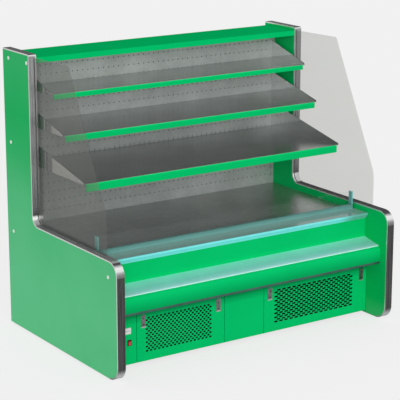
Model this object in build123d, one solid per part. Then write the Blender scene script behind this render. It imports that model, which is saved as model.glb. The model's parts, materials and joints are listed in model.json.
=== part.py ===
from build123d import *
import os
from math import floor, radians, tan

# Open refrigerated produce case. Millimetres, +Z up, front towards -Y, X along the case.
# The origin is on the floor, under the middle of the case.

# Case
case_length = 1800.0
case_depth = 1170.0
foot_clearance = 10.0
sheet = 1.5

# End panels and their edging
end_panel_height = 1556.0
end_panel_thickness = 46.0
post_depth = 294.0
lower_part_height = 628.0
nose_top_radius = 75.0
nose_bottom_radius = 80.0
step_radius = 50.0
post_corner_radius = 12.0
edging_web = 2.0
edging_lip_thickness = 1.0
edging_lip_width = 7.0
edging_bottom_run = 4.0

# Screw caps on the outer faces
cap_diameter = 20.0
cap_dome = 2.0
cap_stem_diameter = 8.0
cap_stem_length = 9.0
cap_socket_clearance = 0.2
cap_rear_inset = 64.0
cap_post_inset = 25.0
cap_top_inset = 48.0
cap_step_drop = 87.0
cap_nose_inset = 87.0
cap_middle_height = 1055.0

# End panes
pane_thickness = 6.0
pane_inset = 9.0
pane_top_drop = 20.0
pane_front_rise = 8.0
pane_top_setback = 507.0
pane_knee_setback = 148.0
pane_knee_rise = 197.0
pane_corner_radius = 20.0
pane_knee_radius = 150.0
pane_groove_depth = 14.0
pane_clearance = 0.3

# Rear wall, from the outside in
rear_recess = 20.0
rear_sheet = 1.0
back_wall_thickness = 45.0
duct_depth = 30.0
back_panel_sheet = 1.2
air_hole_diameter = 7.0
air_hole_pitch_x = 33.0
air_hole_pitch_z = 51.0
air_hole_margin = 26.0
air_hole_first_row = 58.0
upright_width = 34.0
upright_wall = 2.0
slot_pitch = 46.5
slot_width = 4.0
slot_height = 22.0

# Top cap
cap_top_drop = 20.0
cap_front_inset = 8.0
cap_lip_height = 30.0
cap_return = 18.0

# Shelves, from the top one down
shelf_names = ("upper", "middle", "lower")
shelf_depths = (316.0, 433.0, 644.0)
bracket_slopes = (16.5, 14.0, 12.0)
strip_heights = (26.0, 33.0, 41.0)
slots_between_shelves = 4
top_bracket_rear_height = 1467.0
strip_thickness = 4.0
strip_end_gap = 32.0
strip_top_drop = 2.0
bracket_end_gap = 18.0
bracket_thickness = 3.0
bracket_front_rise = 8.0
bracket_ledge_width = 20.0
bracket_ledge_end_gap = 12.0
shelf_side_clearance = 0.3
hook_height = 20.0
hook_reach = 4.0
hook_nib = 6.0
hook_clearance = 0.3
first_hook_drop = 28.0
hooks_per_bracket = 2

# Display deck, ledge and riser
deck_drop = 46.0
deck_rear_flange = 25.0
deck_rail_depth = 15.0
deck_rail_height = 30.0
ledge_thickness = 10.0
ledge_overhang = 18.0
ledge_depth = 142.0
ledge_end_gap = 2.0
ledge_rail_drop = 34.0
ledge_rail_thickness = 6.0
riser_thickness = 8.0
riser_height = 100.0
riser_end_gap = 23.0
riser_rear_gap = 10.0
riser_channel_width = 18.0
riser_channel_height = 24.0
riser_channel_floor = 3.0
riser_clearance = 0.3
riser_post_width = 8.0

# Tub and base frame
tub_wall = 50.0
tub_gap_behind_fascia = 18.5
frame_tube = 40.0
frame_wall = 2.0
frame_bottom = 30.0
frame_top = 330.0

# Front: fascia, bumper, trim
fascia_setback = 195.0
fascia_bottom_flange = 15.0
bumper_reach = 140.0
bumper_wall = 3.0
bumper_top_height = 460.0
bumper_bottom_height = 344.5
bumper_top_drop = 26.0
bumper_plate_thickness = 5.0
bumper_plate_front_gap = 20.0
bumper_nose_drop = 22.0
bumper_foot_tuck = 3.0
trim_height = 12.0
trim_depth = 45.0
trim_sheet = 2.0
trim_setback = 4.0

# Lower front: control panel, centre panel and service doors
lower_panel_setback = 170.0
lower_panel_bottom = 25.0
lower_panel_top_gap = 2.0
panel_edge_depth = 15.0
control_panel_width = 168.0
left_door_width = 557.0
centre_panel_width = 258.0
door_gap = 3.0
door_rear_clearance = 2.0
door_top_gap = 22.0
left_grille_margins = (49.0, 78.0)
right_grille_margins = (64.0, 93.0)
left_grille_pitch = 25.0
right_grille_pitch = 35.0
grille_row_pitch = 12.0
grille_top_margin = 48.0
grille_bottom_margin = 49.0
grille_bar = 8.0
grille_opening_height = 10.0
grille_opening_taper = 4.0

# Strap hinges of the service doors
strap_width = 28.0
strap_thickness = 2.5
strap_length = 106.0
strap_inset = 42.0
strap_screw_diameter = 8.0
strap_screw_height = 1.5
strap_screw_count = 3
hinge_pin_diameter = 4.0
hinge_running_clearance = 0.06
knuckle_diameter = 9.0
knuckle_length = 12.0
knuckle_side_gap = 0.5
hinge_axis_stand_off = 4.0
hinge_axis_rise = 6.0
hinge_arm_thickness = 7.0
hinge_arm_door_gap = 1.0

# Thermostat
thermostat_width = 74.0
thermostat_height = 33.0
thermostat_bezel = 4.0
thermostat_body_depth = 50.0
thermostat_rim = 3.0
thermostat_right_inset = 35.0
thermostat_centre_height = 210.0
window_width = 33.0
window_height = 22.0
window_thickness = 1.2
window_inset = 6.0
key_diameter = 7.0
key_pitch = 9.5
key_proud = 1.0
key_travel = 0.8
key_bore_depth = 3.0
key_clearance = 0.1

# Rocker switch
switch_width = 25.0
switch_height = 33.0
switch_bezel = 2.0
switch_body_depth = 18.0
switch_wall = 2.0
switch_right_inset = 30.0
switch_centre_height = 143.5
rocker_side_clearance = 0.3
rocker_half_height = 11.0
rocker_end_clearance = 2.0
rocker_pivot_depth = 7.0
rocker_face_stand = 11.0
rocker_dish = 1.7
rocker_tail = 2.0
rocker_tilt = 8.0
rocker_axle_diameter = 3.0
rocker_axle_clearance = 0.06

# Condensing unit
unit_side_gap = 20.0
unit_front_gap = 45.0
unit_plate_depth = 600.0
unit_plate_thickness = 2.0
condenser_width = 420.0
condenser_depth = 60.0
condenser_height = 200.0
condenser_fin_pitch = 14.0
condenser_fin_thickness = 5.0
condenser_core_depth = 20.0
shroud_depth = 45.0
shroud_sheet = 2.0
condenser_fan_diameter = 176.0
fan_tip_clearance = 6.0
fan_hub_diameter = 44.0
fan_hub_length = 22.0
fan_blade_chord = 46.0
fan_blade_thickness = 2.5
fan_blade_pitch = 28.0
fan_blade_count = 5
fan_root_sink = 4.0
fan_shaft_diameter = 8.0
fan_running_clearance = 0.06
fan_motor_diameter = 76.0
fan_motor_length = 60.0
fan_motor_gap = 3.0
motor_stand_width = 50.0
motor_stand_thickness = 4.0
compressor_diameter = 150.0
compressor_height = 150.0
compressor_foot = 20.0
compressor_foot_spread = 190.0
compressor_foot_plate = 4.0
compressor_grommet_diameter = 26.0
compressor_dome_radius = 40.0
compressor_behind_fan = 210.0
compressor_stub = 14.0

# Evaporator, in the tub
evaporator_length = 1200.0
evaporator_depth = 200.0
evaporator_height = 100.0
evaporator_floor_gap = 15.0
evaporator_fin_pitch = 24.0
evaporator_fin_thickness = 8.0
evaporator_core_height = 24.0
evaporator_end_plate = 3.0
evaporator_front_gap = 150.0
fan_plate_gap = 50.0
fan_plate_sheet = 2.0
fan_plate_height = 180.0
fan_plate_margin = 60.0
fan_spacing = 600.0
evaporator_fan_diameter = 150.0
evaporator_motor_diameter = 56.0
evaporator_motor_length = 45.0
spider_width = 26.0
spider_thickness = 3.0

# Pipes, drain and gland
pipe_diameter = 10.0
pipe_bend = 30.0
pipe_run_height = 300.0
pipe_hole_clearance = 5.0
drain_spigot_diameter = 32.0
drain_collar_diameter = 36.0
drain_wall = 2.5
drain_clearance = 0.2
drain_flange_diameter = 60.0
drain_flange = 4.0
drain_drop = 40.0
drain_rear_gap = 90.0
gland_thread_diameter = 20.0
gland_nut_width = 27.0
gland_nut_length = 8.0
gland_dome_length = 9.0
gland_bore = 9.0
gland_tail = 12.0
gland_side_inset = 120.0
gland_height = 120.0
gland_hole_clearance = 0.2

# Feet
foot_pad_diameter = 38.0
foot_pad_height = 9.0
foot_stem_diameter = 10.0
foot_stem_clearance = 0.2
foot_nut_width = 17.0
foot_nut_height = 8.0
foot_end_inset = 110.0
foot_stem_top_gap = 4.0

# Places that follow from the sizes above
half_length = case_length / 2
inner_x = half_length - end_panel_thickness
y_front = -case_depth / 2
y_rear = case_depth / 2
y_post = y_rear - post_depth
z_end_bottom = foot_clearance
z_end_top = foot_clearance + end_panel_height
z_step = foot_clearance + lower_part_height
y_sheet_rear = y_rear - rear_recess
y_wall_rear = y_sheet_rear - rear_sheet
y_wall_front = y_wall_rear - back_wall_thickness
y_panel_rear = y_wall_front - duct_depth
y_panel_face = y_panel_rear - back_panel_sheet
z_cap_top = z_end_top - cap_top_drop
z_cap_under = z_cap_top - sheet
z_deck = z_step - deck_drop
z_tub_top = z_deck - 2 * sheet
y_fascia = y_front + fascia_setback
y_ledge_front = y_fascia - ledge_overhang
y_ledge_rear = y_ledge_front + ledge_depth
z_ledge_top = z_deck + ledge_thickness
y_tub_front = y_fascia + sheet + tub_gap_behind_fascia
z_tub_floor = frame_top + tub_wall
y_lower_panel = y_front + lower_panel_setback
y_frame_front = y_lower_panel + panel_edge_depth
z_trim_bottom = bumper_bottom_height - trim_height
z_lower_panel_top = z_trim_bottom - lower_panel_top_gap
z_door_top = z_trim_bottom - door_top_gap
control_span = (-inner_x, -inner_x + control_panel_width)
left_door_span = (control_span[1], control_span[1] + left_door_width)
centre_span = (left_door_span[1], left_door_span[1] + centre_panel_width)
right_door_span = (centre_span[1], inner_x)
y_hinge = y_lower_panel - hinge_axis_stand_off
z_hinge = z_door_top + hinge_axis_rise
z_unit = frame_bottom + frame_tube
x_fan = (right_door_span[0] + right_door_span[1]) / 2
y_condenser = y_frame_front + unit_front_gap
z_condenser = z_unit + unit_plate_thickness
z_fan = z_condenser + condenser_height / 2
y_shroud = y_condenser + condenser_depth
y_evaporator = y_tub_front + tub_wall + evaporator_front_gap
y_fan_plate = y_evaporator + evaporator_depth + fan_plate_gap
z_evaporator_fan = z_tub_floor + fan_plate_height / 2


def block(x_span, y_span, z_span):
    """Box between two corners, each span given as (low, high)."""
    spans = (x_span, y_span, z_span)
    middle = [(low + high) / 2 for low, high in spans]
    size = [high - low for low, high in spans]
    return Pos(*middle) * Box(*size)


def outline(*points):
    """Sharp-cornered side-view outline from (y, z) points."""
    return make_face(Polyline(*points, close=True))


def prism(face, x_low, x_high):
    """Push a side-view outline along X, from x_low to x_high."""
    return extrude(Plane.YZ.offset(x_low) * face, amount=x_high - x_low, dir=(1, 0, 0))


def across(face):
    """Push a side-view outline right across the case, between the end panels."""
    return prism(face, -inner_x, inner_x)


def rod(start, direction, diameter, length):
    """Round bar from a start point along a direction."""
    plane = Plane(origin=start, z_dir=direction)
    return extrude(plane * Circle(diameter / 2), amount=length)


def mirrored(shape):
    """The same shape at the other end of the case."""
    return mirror(shape, about=Plane.YZ)


def group(shapes):
    """Separate solids kept together under one name."""
    solids = [solid for shape in shapes for solid in shape.solids()]
    return Compound(children=solids)


def tray(x_span, y_face, depth, z_span):
    """Sheet panel with its four edges turned back."""
    shell = block(x_span, (y_face, y_face + depth), z_span)
    hollow_x = (x_span[0] + sheet, x_span[1] - sheet)
    hollow_z = (z_span[0] + sheet, z_span[1] - sheet)
    return shell - block(hollow_x, (y_face + sheet, y_face + depth), hollow_z)


def end_profile(rear_extra=0.0):
    """L-shaped outline of an end panel, optionally drawn out past its rear edge."""
    rear = y_rear + rear_extra
    points = (
        (rear, z_end_bottom),
        (rear, z_end_top),
        (y_post, z_end_top),
        (y_post, z_step),
        (y_front, z_step),
        (y_front, z_end_bottom),
    )
    radii = (0, 0, post_corner_radius, step_radius, nose_top_radius, nose_bottom_radius)
    return make_face(FilletPolyline(*points, radius=radii, close=True))


def edging_band(width):
    """Band inside the outline's top, front and nose, where the edging lies."""
    inside = offset(end_profile(rear_extra=post_depth), amount=-width, kind=Kind.INTERSECTION)
    band = end_profile() - inside
    y_stop = y_front + nose_bottom_radius + edging_bottom_run
    plain_bottom = outline(
        (y_stop, z_end_bottom - width),
        (y_rear + width, z_end_bottom - width),
        (y_rear + width, z_end_bottom + 2 * width),
        (y_stop, z_end_bottom + 2 * width),
    )
    return band - plain_bottom


def pane_outline(extra=0.0):
    """Outline of an end pane, grown by a clearance where it stands in its groove."""
    y_groove = y_post + pane_groove_depth + extra
    z_groove = z_step - pane_groove_depth - extra
    z_top = z_end_top - pane_top_drop + extra
    y_top_front = y_front + pane_top_setback - extra
    y_knee = y_front + pane_knee_setback - extra
    points = (
        (y_groove, z_groove),
        (y_groove, z_top),
        (y_top_front, z_top + pane_front_rise),
        (y_knee, z_step + pane_knee_rise),
        (y_knee, z_groove),
    )
    radii = (0, 0, pane_corner_radius, pane_knee_radius, 0)
    return make_face(FilletPolyline(*points, radius=radii, close=True))


def end_pane():
    """Clear pane standing in the left end panel."""
    x_outer = -inner_x - pane_inset
    return prism(pane_outline(), x_outer - pane_thickness, x_outer)


def pane_groove():
    """Groove for the left pane, with its clearance."""
    x_outer = -inner_x - pane_inset + pane_clearance
    width = pane_thickness + 2 * pane_clearance
    return prism(pane_outline(pane_clearance), x_outer - width, x_outer)


def cap_places():
    """Screw cap centres on an end panel's outer face, as (y, z)."""
    y_column = y_rear - cap_rear_inset
    z_high = z_end_top - cap_top_inset
    z_low = z_step - cap_step_drop
    return (
        (y_column, z_high),
        (y_post + cap_post_inset, z_high),
        (y_column, cap_middle_height),
        (y_column, z_low),
        (y_front + cap_nose_inset, z_low),
    )


def end_panel():
    """Left end panel: the core inside the edging, with its cap sockets and pane groove."""
    core = prism(end_profile() - edging_band(edging_web), -half_length, -inner_x)
    lip = edging_band(edging_lip_width)
    core -= prism(lip, -half_length, -half_length + edging_lip_thickness)
    core -= prism(lip, -inner_x - edging_lip_thickness, -inner_x)
    core -= pane_groove()
    socket_diameter = cap_stem_diameter + 2 * cap_socket_clearance
    for y, z in cap_places():
        core -= rod((-half_length, y, z), (1, 0, 0), socket_diameter, cap_stem_length + 1)
    return core


def end_edging():
    """Channel-shaped metal edging of the left end panel."""
    edging = prism(edging_band(edging_web), -half_length, -inner_x)
    lip = edging_band(edging_lip_width)
    edging += prism(lip, -half_length, -half_length + edging_lip_thickness)
    edging += prism(lip, -inner_x - edging_lip_thickness, -inner_x)
    return edging - pane_groove()


def screw_caps():
    """Domed caps with stems in the left end panel's sockets."""
    caps = []
    for y, z in cap_places():
        disc = rod((-half_length, y, z), (-1, 0, 0), cap_diameter, cap_dome)
        rim = disc.edges().filter_by(GeomType.CIRCLE).sort_by(Axis.X)[0]
        stem = rod((-half_length, y, z), (1, 0, 0), cap_stem_diameter, cap_stem_length)
        caps.append(fillet(rim, cap_dome * 0.9) + stem)
    return caps


def tube_bores(spans, along):
    """Hollow of a frame tube, run on past both ends through the next tube's wall."""
    hollow = [(low + frame_wall, high - frame_wall) for low, high in spans]
    low, high = spans[along]
    hollow[along] = (low - frame_wall, high + frame_wall)
    return block(*hollow)


def base_frame():
    """Welded tube frame under the tub, round the machine space."""
    z_low = (frame_bottom, frame_bottom + frame_tube)
    z_high = (frame_top - frame_tube, frame_top)
    y_near = (y_frame_front, y_frame_front + frame_tube)
    y_far = (y_wall_rear - frame_tube, y_wall_rear)
    y_between = (y_near[1], y_far[0])
    x_all = (-inner_x, inner_x)
    x_left = (-inner_x, -inner_x + frame_tube)
    x_right = (inner_x - frame_tube, inner_x)
    z_between = (z_low[1], z_high[0])
    seams = (control_span[1], left_door_span[1], centre_span[1])
    tubes = [((x_all, y, z), 0) for y in (y_near, y_far) for z in (z_low, z_high)]
    tubes += [((x, y_between, z), 1) for x in (x_left, x_right) for z in (z_low, z_high)]
    tubes.append(((centred_span(centre_span[1], frame_tube), y_between, z_low), 1))
    tubes += [((x, y, z_between), 2) for x in (x_left, x_right) for y in (y_near, y_far)]
    tubes += [((centred_span(seam, frame_tube), y_near, z_between), 2) for seam in seams]
    bars = [block(*spans) for spans, _ in tubes]
    bores = [tube_bores(spans, along) for spans, along in tubes]
    frame = bars[0].fuse(*bars[1:]).cut(*bores)
    hole = foot_stem_diameter + 2 * foot_stem_clearance
    stems = [rod((x, y, frame_bottom), (0, 0, 1), hole, frame_tube) for x, y in foot_places()]
    return frame.cut(*stems)


def foot_places():
    """Foot centres under the three lower rails that run front to back."""
    x_rails = (-inner_x + frame_tube / 2, centre_span[1], inner_x - frame_tube / 2)
    y_rows = (y_frame_front + frame_tube + foot_end_inset, y_wall_rear - frame_tube - foot_end_inset)
    return [(x, y) for x in x_rails for y in y_rows]


def levelling_feet():
    """Screw feet in the frame's lower rails, each with its locknut."""
    feet = []
    nut_face = RegularPolygon(foot_nut_width / 2, 6, major_radius=False)
    for x, y in foot_places():
        pad = rod((x, y, 0), (0, 0, 1), foot_pad_diameter, foot_pad_height)
        stem_length = z_unit - foot_stem_top_gap - foot_pad_height
        stem = rod((x, y, foot_pad_height), (0, 0, 1), foot_stem_diameter, stem_length)
        feet.append(pad + stem)
        nut_hole = Circle(foot_stem_diameter / 2 + foot_stem_clearance)
        nut = extrude(nut_face - nut_hole, amount=foot_nut_height)
        feet.append(Pos(x, y, frame_bottom - foot_nut_height) * nut)
    return group(feet)


def insulated_tub():
    """Insulated front wall and floor of the cold tub."""
    y_inside = y_tub_front + tub_wall
    section = outline(
        (y_tub_front, frame_top),
        (y_wall_front, frame_top),
        (y_wall_front, z_tub_floor),
        (y_inside, z_tub_floor),
        (y_inside, z_tub_top),
        (y_tub_front, z_tub_top),
    )
    drain_hole = drain_collar_diameter + 2 * drain_clearance
    pipe_hole = pipe_diameter + 2 * pipe_hole_clearance
    holes = [(drain_place(), drain_hole)] + [(place, pipe_hole) for place in pipe_places()]
    cutters = [rod((x, y, frame_top), (0, 0, 1), hole, tub_wall) for (x, y), hole in holes]
    return across(section).cut(*cutters)


def insulated_back_wall():
    """Insulated rear wall, standing on the frame's rear top rail."""
    y_span = (y_wall_front, y_wall_rear)
    return block((-inner_x, inner_x), y_span, (frame_top, z_cap_under))


def gland_place():
    """Centre of the cable gland on the rear cover, as (x, z)."""
    return inner_x - gland_side_inset, gland_height


def rear_cover_sheet():
    """Outer rear sheet, with the cable gland's hole."""
    cover = block((-inner_x, inner_x), (y_wall_rear, y_sheet_rear), (frame_bottom, z_cap_under))
    x, z = gland_place()
    hole = gland_thread_diameter + 2 * gland_hole_clearance
    return cover - rod((x, y_wall_rear, z), (0, 1, 0), hole, rear_sheet)


def staggered_grid(x_span, z_span, pitch_x, pitch_z):
    """Hole centres in staggered rows, centred in the area they fill."""
    columns = floor((x_span[1] - x_span[0]) / pitch_x)
    rows = floor((z_span[1] - z_span[0]) / pitch_z)
    x_first = (x_span[0] + x_span[1] - columns * pitch_x) / 2
    z_first = (z_span[0] + z_span[1] - rows * pitch_z) / 2
    places = []
    for row in range(rows + 1):
        odd = row % 2 == 1
        shift = pitch_x / 2 if odd else 0.0
        count = columns if odd else columns + 1
        z = z_first + row * pitch_z
        places += [(x_first + shift + i * pitch_x, z) for i in range(count)]
    return places


def perforated_back_panel():
    """Inner back sheet with rows of small air holes, between the uprights."""
    x_edge = inner_x - upright_width
    columns = floor(2 * (x_edge - air_hole_margin) / air_hole_pitch_x)
    x_first = -columns * air_hole_pitch_x / 2
    z_first = z_deck + air_hole_first_row
    rows = floor((z_cap_under - air_hole_margin - z_first) / air_hole_pitch_z)
    heights = [z_first + row * air_hole_pitch_z for row in range(rows + 1)]
    places = [(x_first + i * air_hole_pitch_x, z) for z in heights for i in range(columns + 1)]
    corners = ((-x_edge, z_deck), (x_edge, z_deck), (x_edge, z_cap_under), (-x_edge, z_cap_under))
    hole = Wire.make_circle(air_hole_diameter / 2)
    holes = [hole.moved(Location((x, z, 0))) for x, z in places]
    face = Face(Polyline(*corners, close=True).wire(), holes)
    front = Plane(origin=(0, y_panel_face, 0), x_dir=(1, 0, 0), z_dir=(0, -1, 0))
    return Solid.extrude(face.moved(front.location), (0, back_panel_sheet, 0))


def bracket_x():
    """Outer and inner faces of the left brackets."""
    x_outer = -inner_x + bracket_end_gap
    return x_outer, x_outer + bracket_thickness


def slot_heights():
    """Centres of the uprights' slots, which the top shelf's first hook sets."""
    z_top = top_bracket_rear_height - first_hook_drop
    count = floor((z_top - z_deck) / slot_pitch)
    return [z_top - i * slot_pitch for i in range(count)]


def upright():
    """Left slotted upright: a channel from the tub's floor to the cap."""
    x_span = (-inner_x, -inner_x + upright_width)
    z_span = (z_tub_floor, z_cap_under)
    channel = block(x_span, (y_panel_face, y_wall_front), z_span)
    hollow_x = (x_span[0] + upright_wall, x_span[1] - upright_wall)
    channel -= block(hollow_x, (y_panel_face + upright_wall, y_wall_front), z_span)
    x_middle = sum(bracket_x()) / 2
    slot_x = (x_middle - slot_width / 2, x_middle + slot_width / 2)
    slot_y = (y_panel_face, y_panel_face + upright_wall)
    slots = [block(slot_x, slot_y, (z - slot_height / 2, z + slot_height / 2)) for z in slot_heights()]
    return channel.cut(*slots)


def top_cap():
    """Bent sheet cap over the rear wall, with a front lip turned under."""
    y_cap = y_post + cap_front_inset
    z_lip = z_cap_top - cap_lip_height
    section = outline(
        (y_sheet_rear, z_cap_top),
        (y_cap, z_cap_top),
        (y_cap, z_lip),
        (y_cap + cap_return, z_lip),
        (y_cap + cap_return, z_lip + sheet),
        (y_cap + sheet, z_lip + sheet),
        (y_cap + sheet, z_cap_under),
        (y_sheet_rear, z_cap_under),
    )
    return across(section)


def shelf_lines(index):
    """One shelf's front y, its deck's height and the height of its brackets' rear top corners."""
    z_rear = top_bracket_rear_height - index * slots_between_shelves * slot_pitch
    fall = tan(radians(bracket_slopes[index])) * shelf_depths[index]
    return y_panel_face - shelf_depths[index], z_rear - fall - bracket_front_rise, z_rear


def strip_span():
    """Ends of a shelf's front strip."""
    x_end = inner_x - strip_end_gap
    return -x_end, x_end


def shelf_deck(index):
    """Level sheet deck between its brackets, with its front edge turned down behind the strip."""
    y_edge, z_shelf, _ = shelf_lines(index)
    x_side = -bracket_x()[1] - shelf_side_clearance
    deck = block((-x_side, x_side), (y_edge, y_panel_face), (z_shelf - sheet, z_shelf))
    z_flange = (z_shelf - strip_heights[index], z_shelf)
    return deck + block(strip_span(), (y_edge, y_edge + sheet), z_flange)


def shelf_bracket(index):
    """Left bracket: wedge-shaped cheek beside the deck, ledge under it, hooks in the upright."""
    y_edge, z_shelf, z_rear = shelf_lines(index)
    x_outer, x_inner = bracket_x()
    z_seat = z_shelf - sheet
    z_low = z_seat - bracket_thickness
    cheek = outline(
        (y_edge, z_shelf + bracket_front_rise),
        (y_panel_face, z_rear),
        (y_panel_face, z_low),
        (y_edge, z_low),
    )
    bracket = prism(cheek, x_outer, x_inner)
    ledge_y = (y_edge + bracket_ledge_end_gap, y_panel_face - bracket_ledge_end_gap)
    bracket += block((x_inner, x_inner + bracket_ledge_width), ledge_y, (z_low, z_seat))
    y_wall = y_panel_face + upright_wall + hook_clearance
    for hook in range(hooks_per_bracket):
        z_hook = z_rear - first_hook_drop - hook * slot_pitch
        z_high = z_hook + hook_height / 2
        z_tab = z_hook - hook_height / 2
        hook_face = outline(
            (y_panel_face, z_high),
            (y_wall + hook_reach, z_high),
            (y_wall + hook_reach, z_tab - hook_nib),
            (y_wall, z_tab - hook_nib),
            (y_wall, z_tab),
            (y_panel_face, z_tab),
        )
        bracket += prism(hook_face, x_outer, x_inner)
    return bracket


def shelf_strip(index):
    """Coloured strip on the front of one shelf."""
    y_edge, z_shelf, _ = shelf_lines(index)
    z_top = z_shelf - strip_top_drop
    return block(strip_span(), (y_edge - strip_thickness, y_edge), (z_top - strip_heights[index], z_top))


def display_deck():
    """Main metal deck, from behind the fascia to the back panel."""
    y_start = y_fascia + sheet
    z_under = z_deck - sheet
    z_flange = z_deck - deck_rear_flange
    section = outline(
        (y_start, z_deck),
        (y_panel_face, z_deck),
        (y_panel_face, z_flange),
        (y_panel_face - sheet, z_flange),
        (y_panel_face - sheet, z_under),
        (y_start, z_under),
    )
    return across(section)


def deck_rear_rail():
    """Angle across the uprights that carries the deck's rear edge."""
    y_back = y_panel_face - sheet
    z_top = z_deck - sheet
    section = outline(
        (y_back, z_top),
        (y_back - deck_rail_depth, z_top),
        (y_back - deck_rail_depth, z_top - sheet),
        (y_back - sheet, z_top - sheet),
        (y_back - sheet, z_top - deck_rail_height),
        (y_back, z_top - deck_rail_height),
    )
    return across(section)


def ledge_glass():
    """Glass ledge over the front of the deck."""
    x_end = inner_x - ledge_end_gap
    return block((-x_end, x_end), (y_ledge_front, y_ledge_rear), (z_deck, z_ledge_top))


def ledge_front_rail():
    """Clear rail that closes the ledge's front edge down to the fascia."""
    z_low = z_ledge_top - ledge_rail_drop
    y_nose = y_ledge_front - ledge_rail_thickness
    section = outline(
        (y_ledge_front, z_ledge_top),
        (y_nose, z_ledge_top),
        (y_nose, z_deck),
        (y_fascia - ledge_rail_thickness, z_low),
        (y_fascia, z_low),
        (y_fascia, z_low + ledge_rail_thickness),
        (y_ledge_front, z_deck),
    )
    x_end = inner_x - ledge_end_gap
    return prism(section, -x_end, x_end)


def riser_places():
    """Middle of the riser's thickness, and its foot."""
    y_riser = y_ledge_rear - riser_rear_gap - riser_channel_width / 2
    return y_riser, z_ledge_top + riser_channel_floor


def riser_glass():
    """Low glass riser standing in its channel, between the end posts."""
    y_riser, z_foot = riser_places()
    x_end = inner_x - riser_end_gap - riser_clearance
    y_span = (y_riser - riser_thickness / 2, y_riser + riser_thickness / 2)
    return block((-x_end, x_end), y_span, (z_foot, z_ledge_top + riser_height))


def riser_channel():
    """Clear channel on the ledge that holds the riser, with an upright post at each end."""
    y_riser, z_foot = riser_places()
    x_end = inner_x - riser_end_gap
    y_span = (y_riser - riser_channel_width / 2, y_riser + riser_channel_width / 2)
    z_top = z_ledge_top + riser_channel_height
    channel = block((-x_end, x_end), y_span, (z_ledge_top, z_top))
    half_slot = riser_thickness / 2 + riser_clearance
    channel -= block((-x_end, x_end), (y_riser - half_slot, y_riser + half_slot), (z_foot, z_top))
    post_z = (z_ledge_top, z_ledge_top + riser_height)
    post = block((x_end, x_end + riser_post_width), (y_span[0], y_ledge_rear), post_z)
    return channel + post + mirrored(post)


def fascia_panel():
    """Upright front sheet, turned back over the tub and under it on the frame's rail."""
    y_inside = y_fascia + sheet
    z_top = z_deck - sheet
    y_top_end = y_tub_front + tub_wall
    y_foot = y_fascia + fascia_bottom_flange
    section = outline(
        (y_fascia, frame_top),
        (y_foot, frame_top),
        (y_foot, frame_top + sheet),
        (y_inside, frame_top + sheet),
        (y_inside, z_tub_top),
        (y_top_end, z_tub_top),
        (y_top_end, z_top),
        (y_fascia, z_top),
    )
    return across(section)


def bumper_top_slope():
    """Fall of the bumper's top for each millimetre forwards."""
    return bumper_top_drop / (bumper_reach - bumper_plate_front_gap)


def bumper_shell():
    """Hollow bulging bumper in front of the fascia."""
    slope = bumper_top_slope()
    y_edge = y_fascia - bumper_reach + bumper_plate_front_gap
    z_rear = bumper_top_height - bumper_plate_thickness
    edge = (y_edge, z_rear - bumper_top_drop)
    y_nose = y_fascia - bumper_reach
    nose = (y_nose, edge[1] - bumper_nose_drop)
    foot = (y_nose + bumper_foot_tuck, bumper_bottom_height)
    rear_top = (y_fascia, z_rear)
    rear_foot = (y_fascia, bumper_bottom_height)
    top = Line(rear_top, edge)
    round_nose = TangentArc(edge, nose, tangent=(-1, -slope))
    bulge = TangentArc(nose, foot, tangent=round_nose % 1)
    under = Line(foot, rear_foot)
    back = Line(rear_foot, rear_top)
    skin = make_face([top, round_nose, bulge, under, back])
    return across(skin - offset(skin, amount=-bumper_wall, kind=Kind.INTERSECTION))


def bumper_top_plate():
    """Pale plate lying on the bumper's sloping top."""
    y_edge = y_fascia - bumper_reach + bumper_plate_front_gap
    z_edge = bumper_top_height - bumper_top_drop
    section = outline(
        (y_fascia, bumper_top_height),
        (y_edge, z_edge),
        (y_edge, z_edge - bumper_plate_thickness),
        (y_fascia, bumper_top_height - bumper_plate_thickness),
    )
    return across(section)


def bumper_trim():
    """Dark metal channel along the bumper's lower edge."""
    y_face = y_fascia - bumper_reach + trim_setback
    y_back = y_face + trim_depth
    section = outline(
        (y_back, bumper_bottom_height),
        (y_face, bumper_bottom_height),
        (y_face, z_trim_bottom),
        (y_back, z_trim_bottom),
        (y_back, z_trim_bottom + trim_sheet),
        (y_face + trim_sheet, z_trim_bottom + trim_sheet),
        (y_face + trim_sheet, bumper_bottom_height - trim_sheet),
        (y_back, bumper_bottom_height - trim_sheet),
    )
    return across(section)


def thermostat_centre():
    """Centre of the thermostat on the control panel, as (x, z)."""
    return control_span[1] - thermostat_right_inset - thermostat_width / 2, thermostat_centre_height


def switch_centre():
    """Centre of the rocker switch on the control panel, as (x, z)."""
    return control_span[1] - switch_right_inset - switch_width / 2, switch_centre_height


def centred_span(middle, width):
    """Low and high ends of a width about its middle."""
    return middle - width / 2, middle + width / 2


def control_panel():
    """Fixed panel at the left, with openings for the thermostat and the switch."""
    z_span = (lower_panel_bottom, z_lower_panel_top)
    panel = tray(control_span, y_lower_panel, panel_edge_depth, z_span)
    y_cut = (y_lower_panel, y_lower_panel + sheet)
    x, z = thermostat_centre()
    body_x = centred_span(x, thermostat_width - 2 * thermostat_rim)
    body_z = centred_span(z, thermostat_height - 2 * thermostat_rim)
    panel -= block(body_x, y_cut, body_z)
    x, z = switch_centre()
    body_x = centred_span(x, switch_width - 2 * switch_wall)
    body_z = centred_span(z, switch_height - 2 * switch_wall)
    return panel - block(body_x, y_cut, body_z)


def centre_panel():
    """Plain fixed panel between the doors."""
    return tray(centre_span, y_lower_panel, panel_edge_depth, (lower_panel_bottom, z_lower_panel_top))


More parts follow.
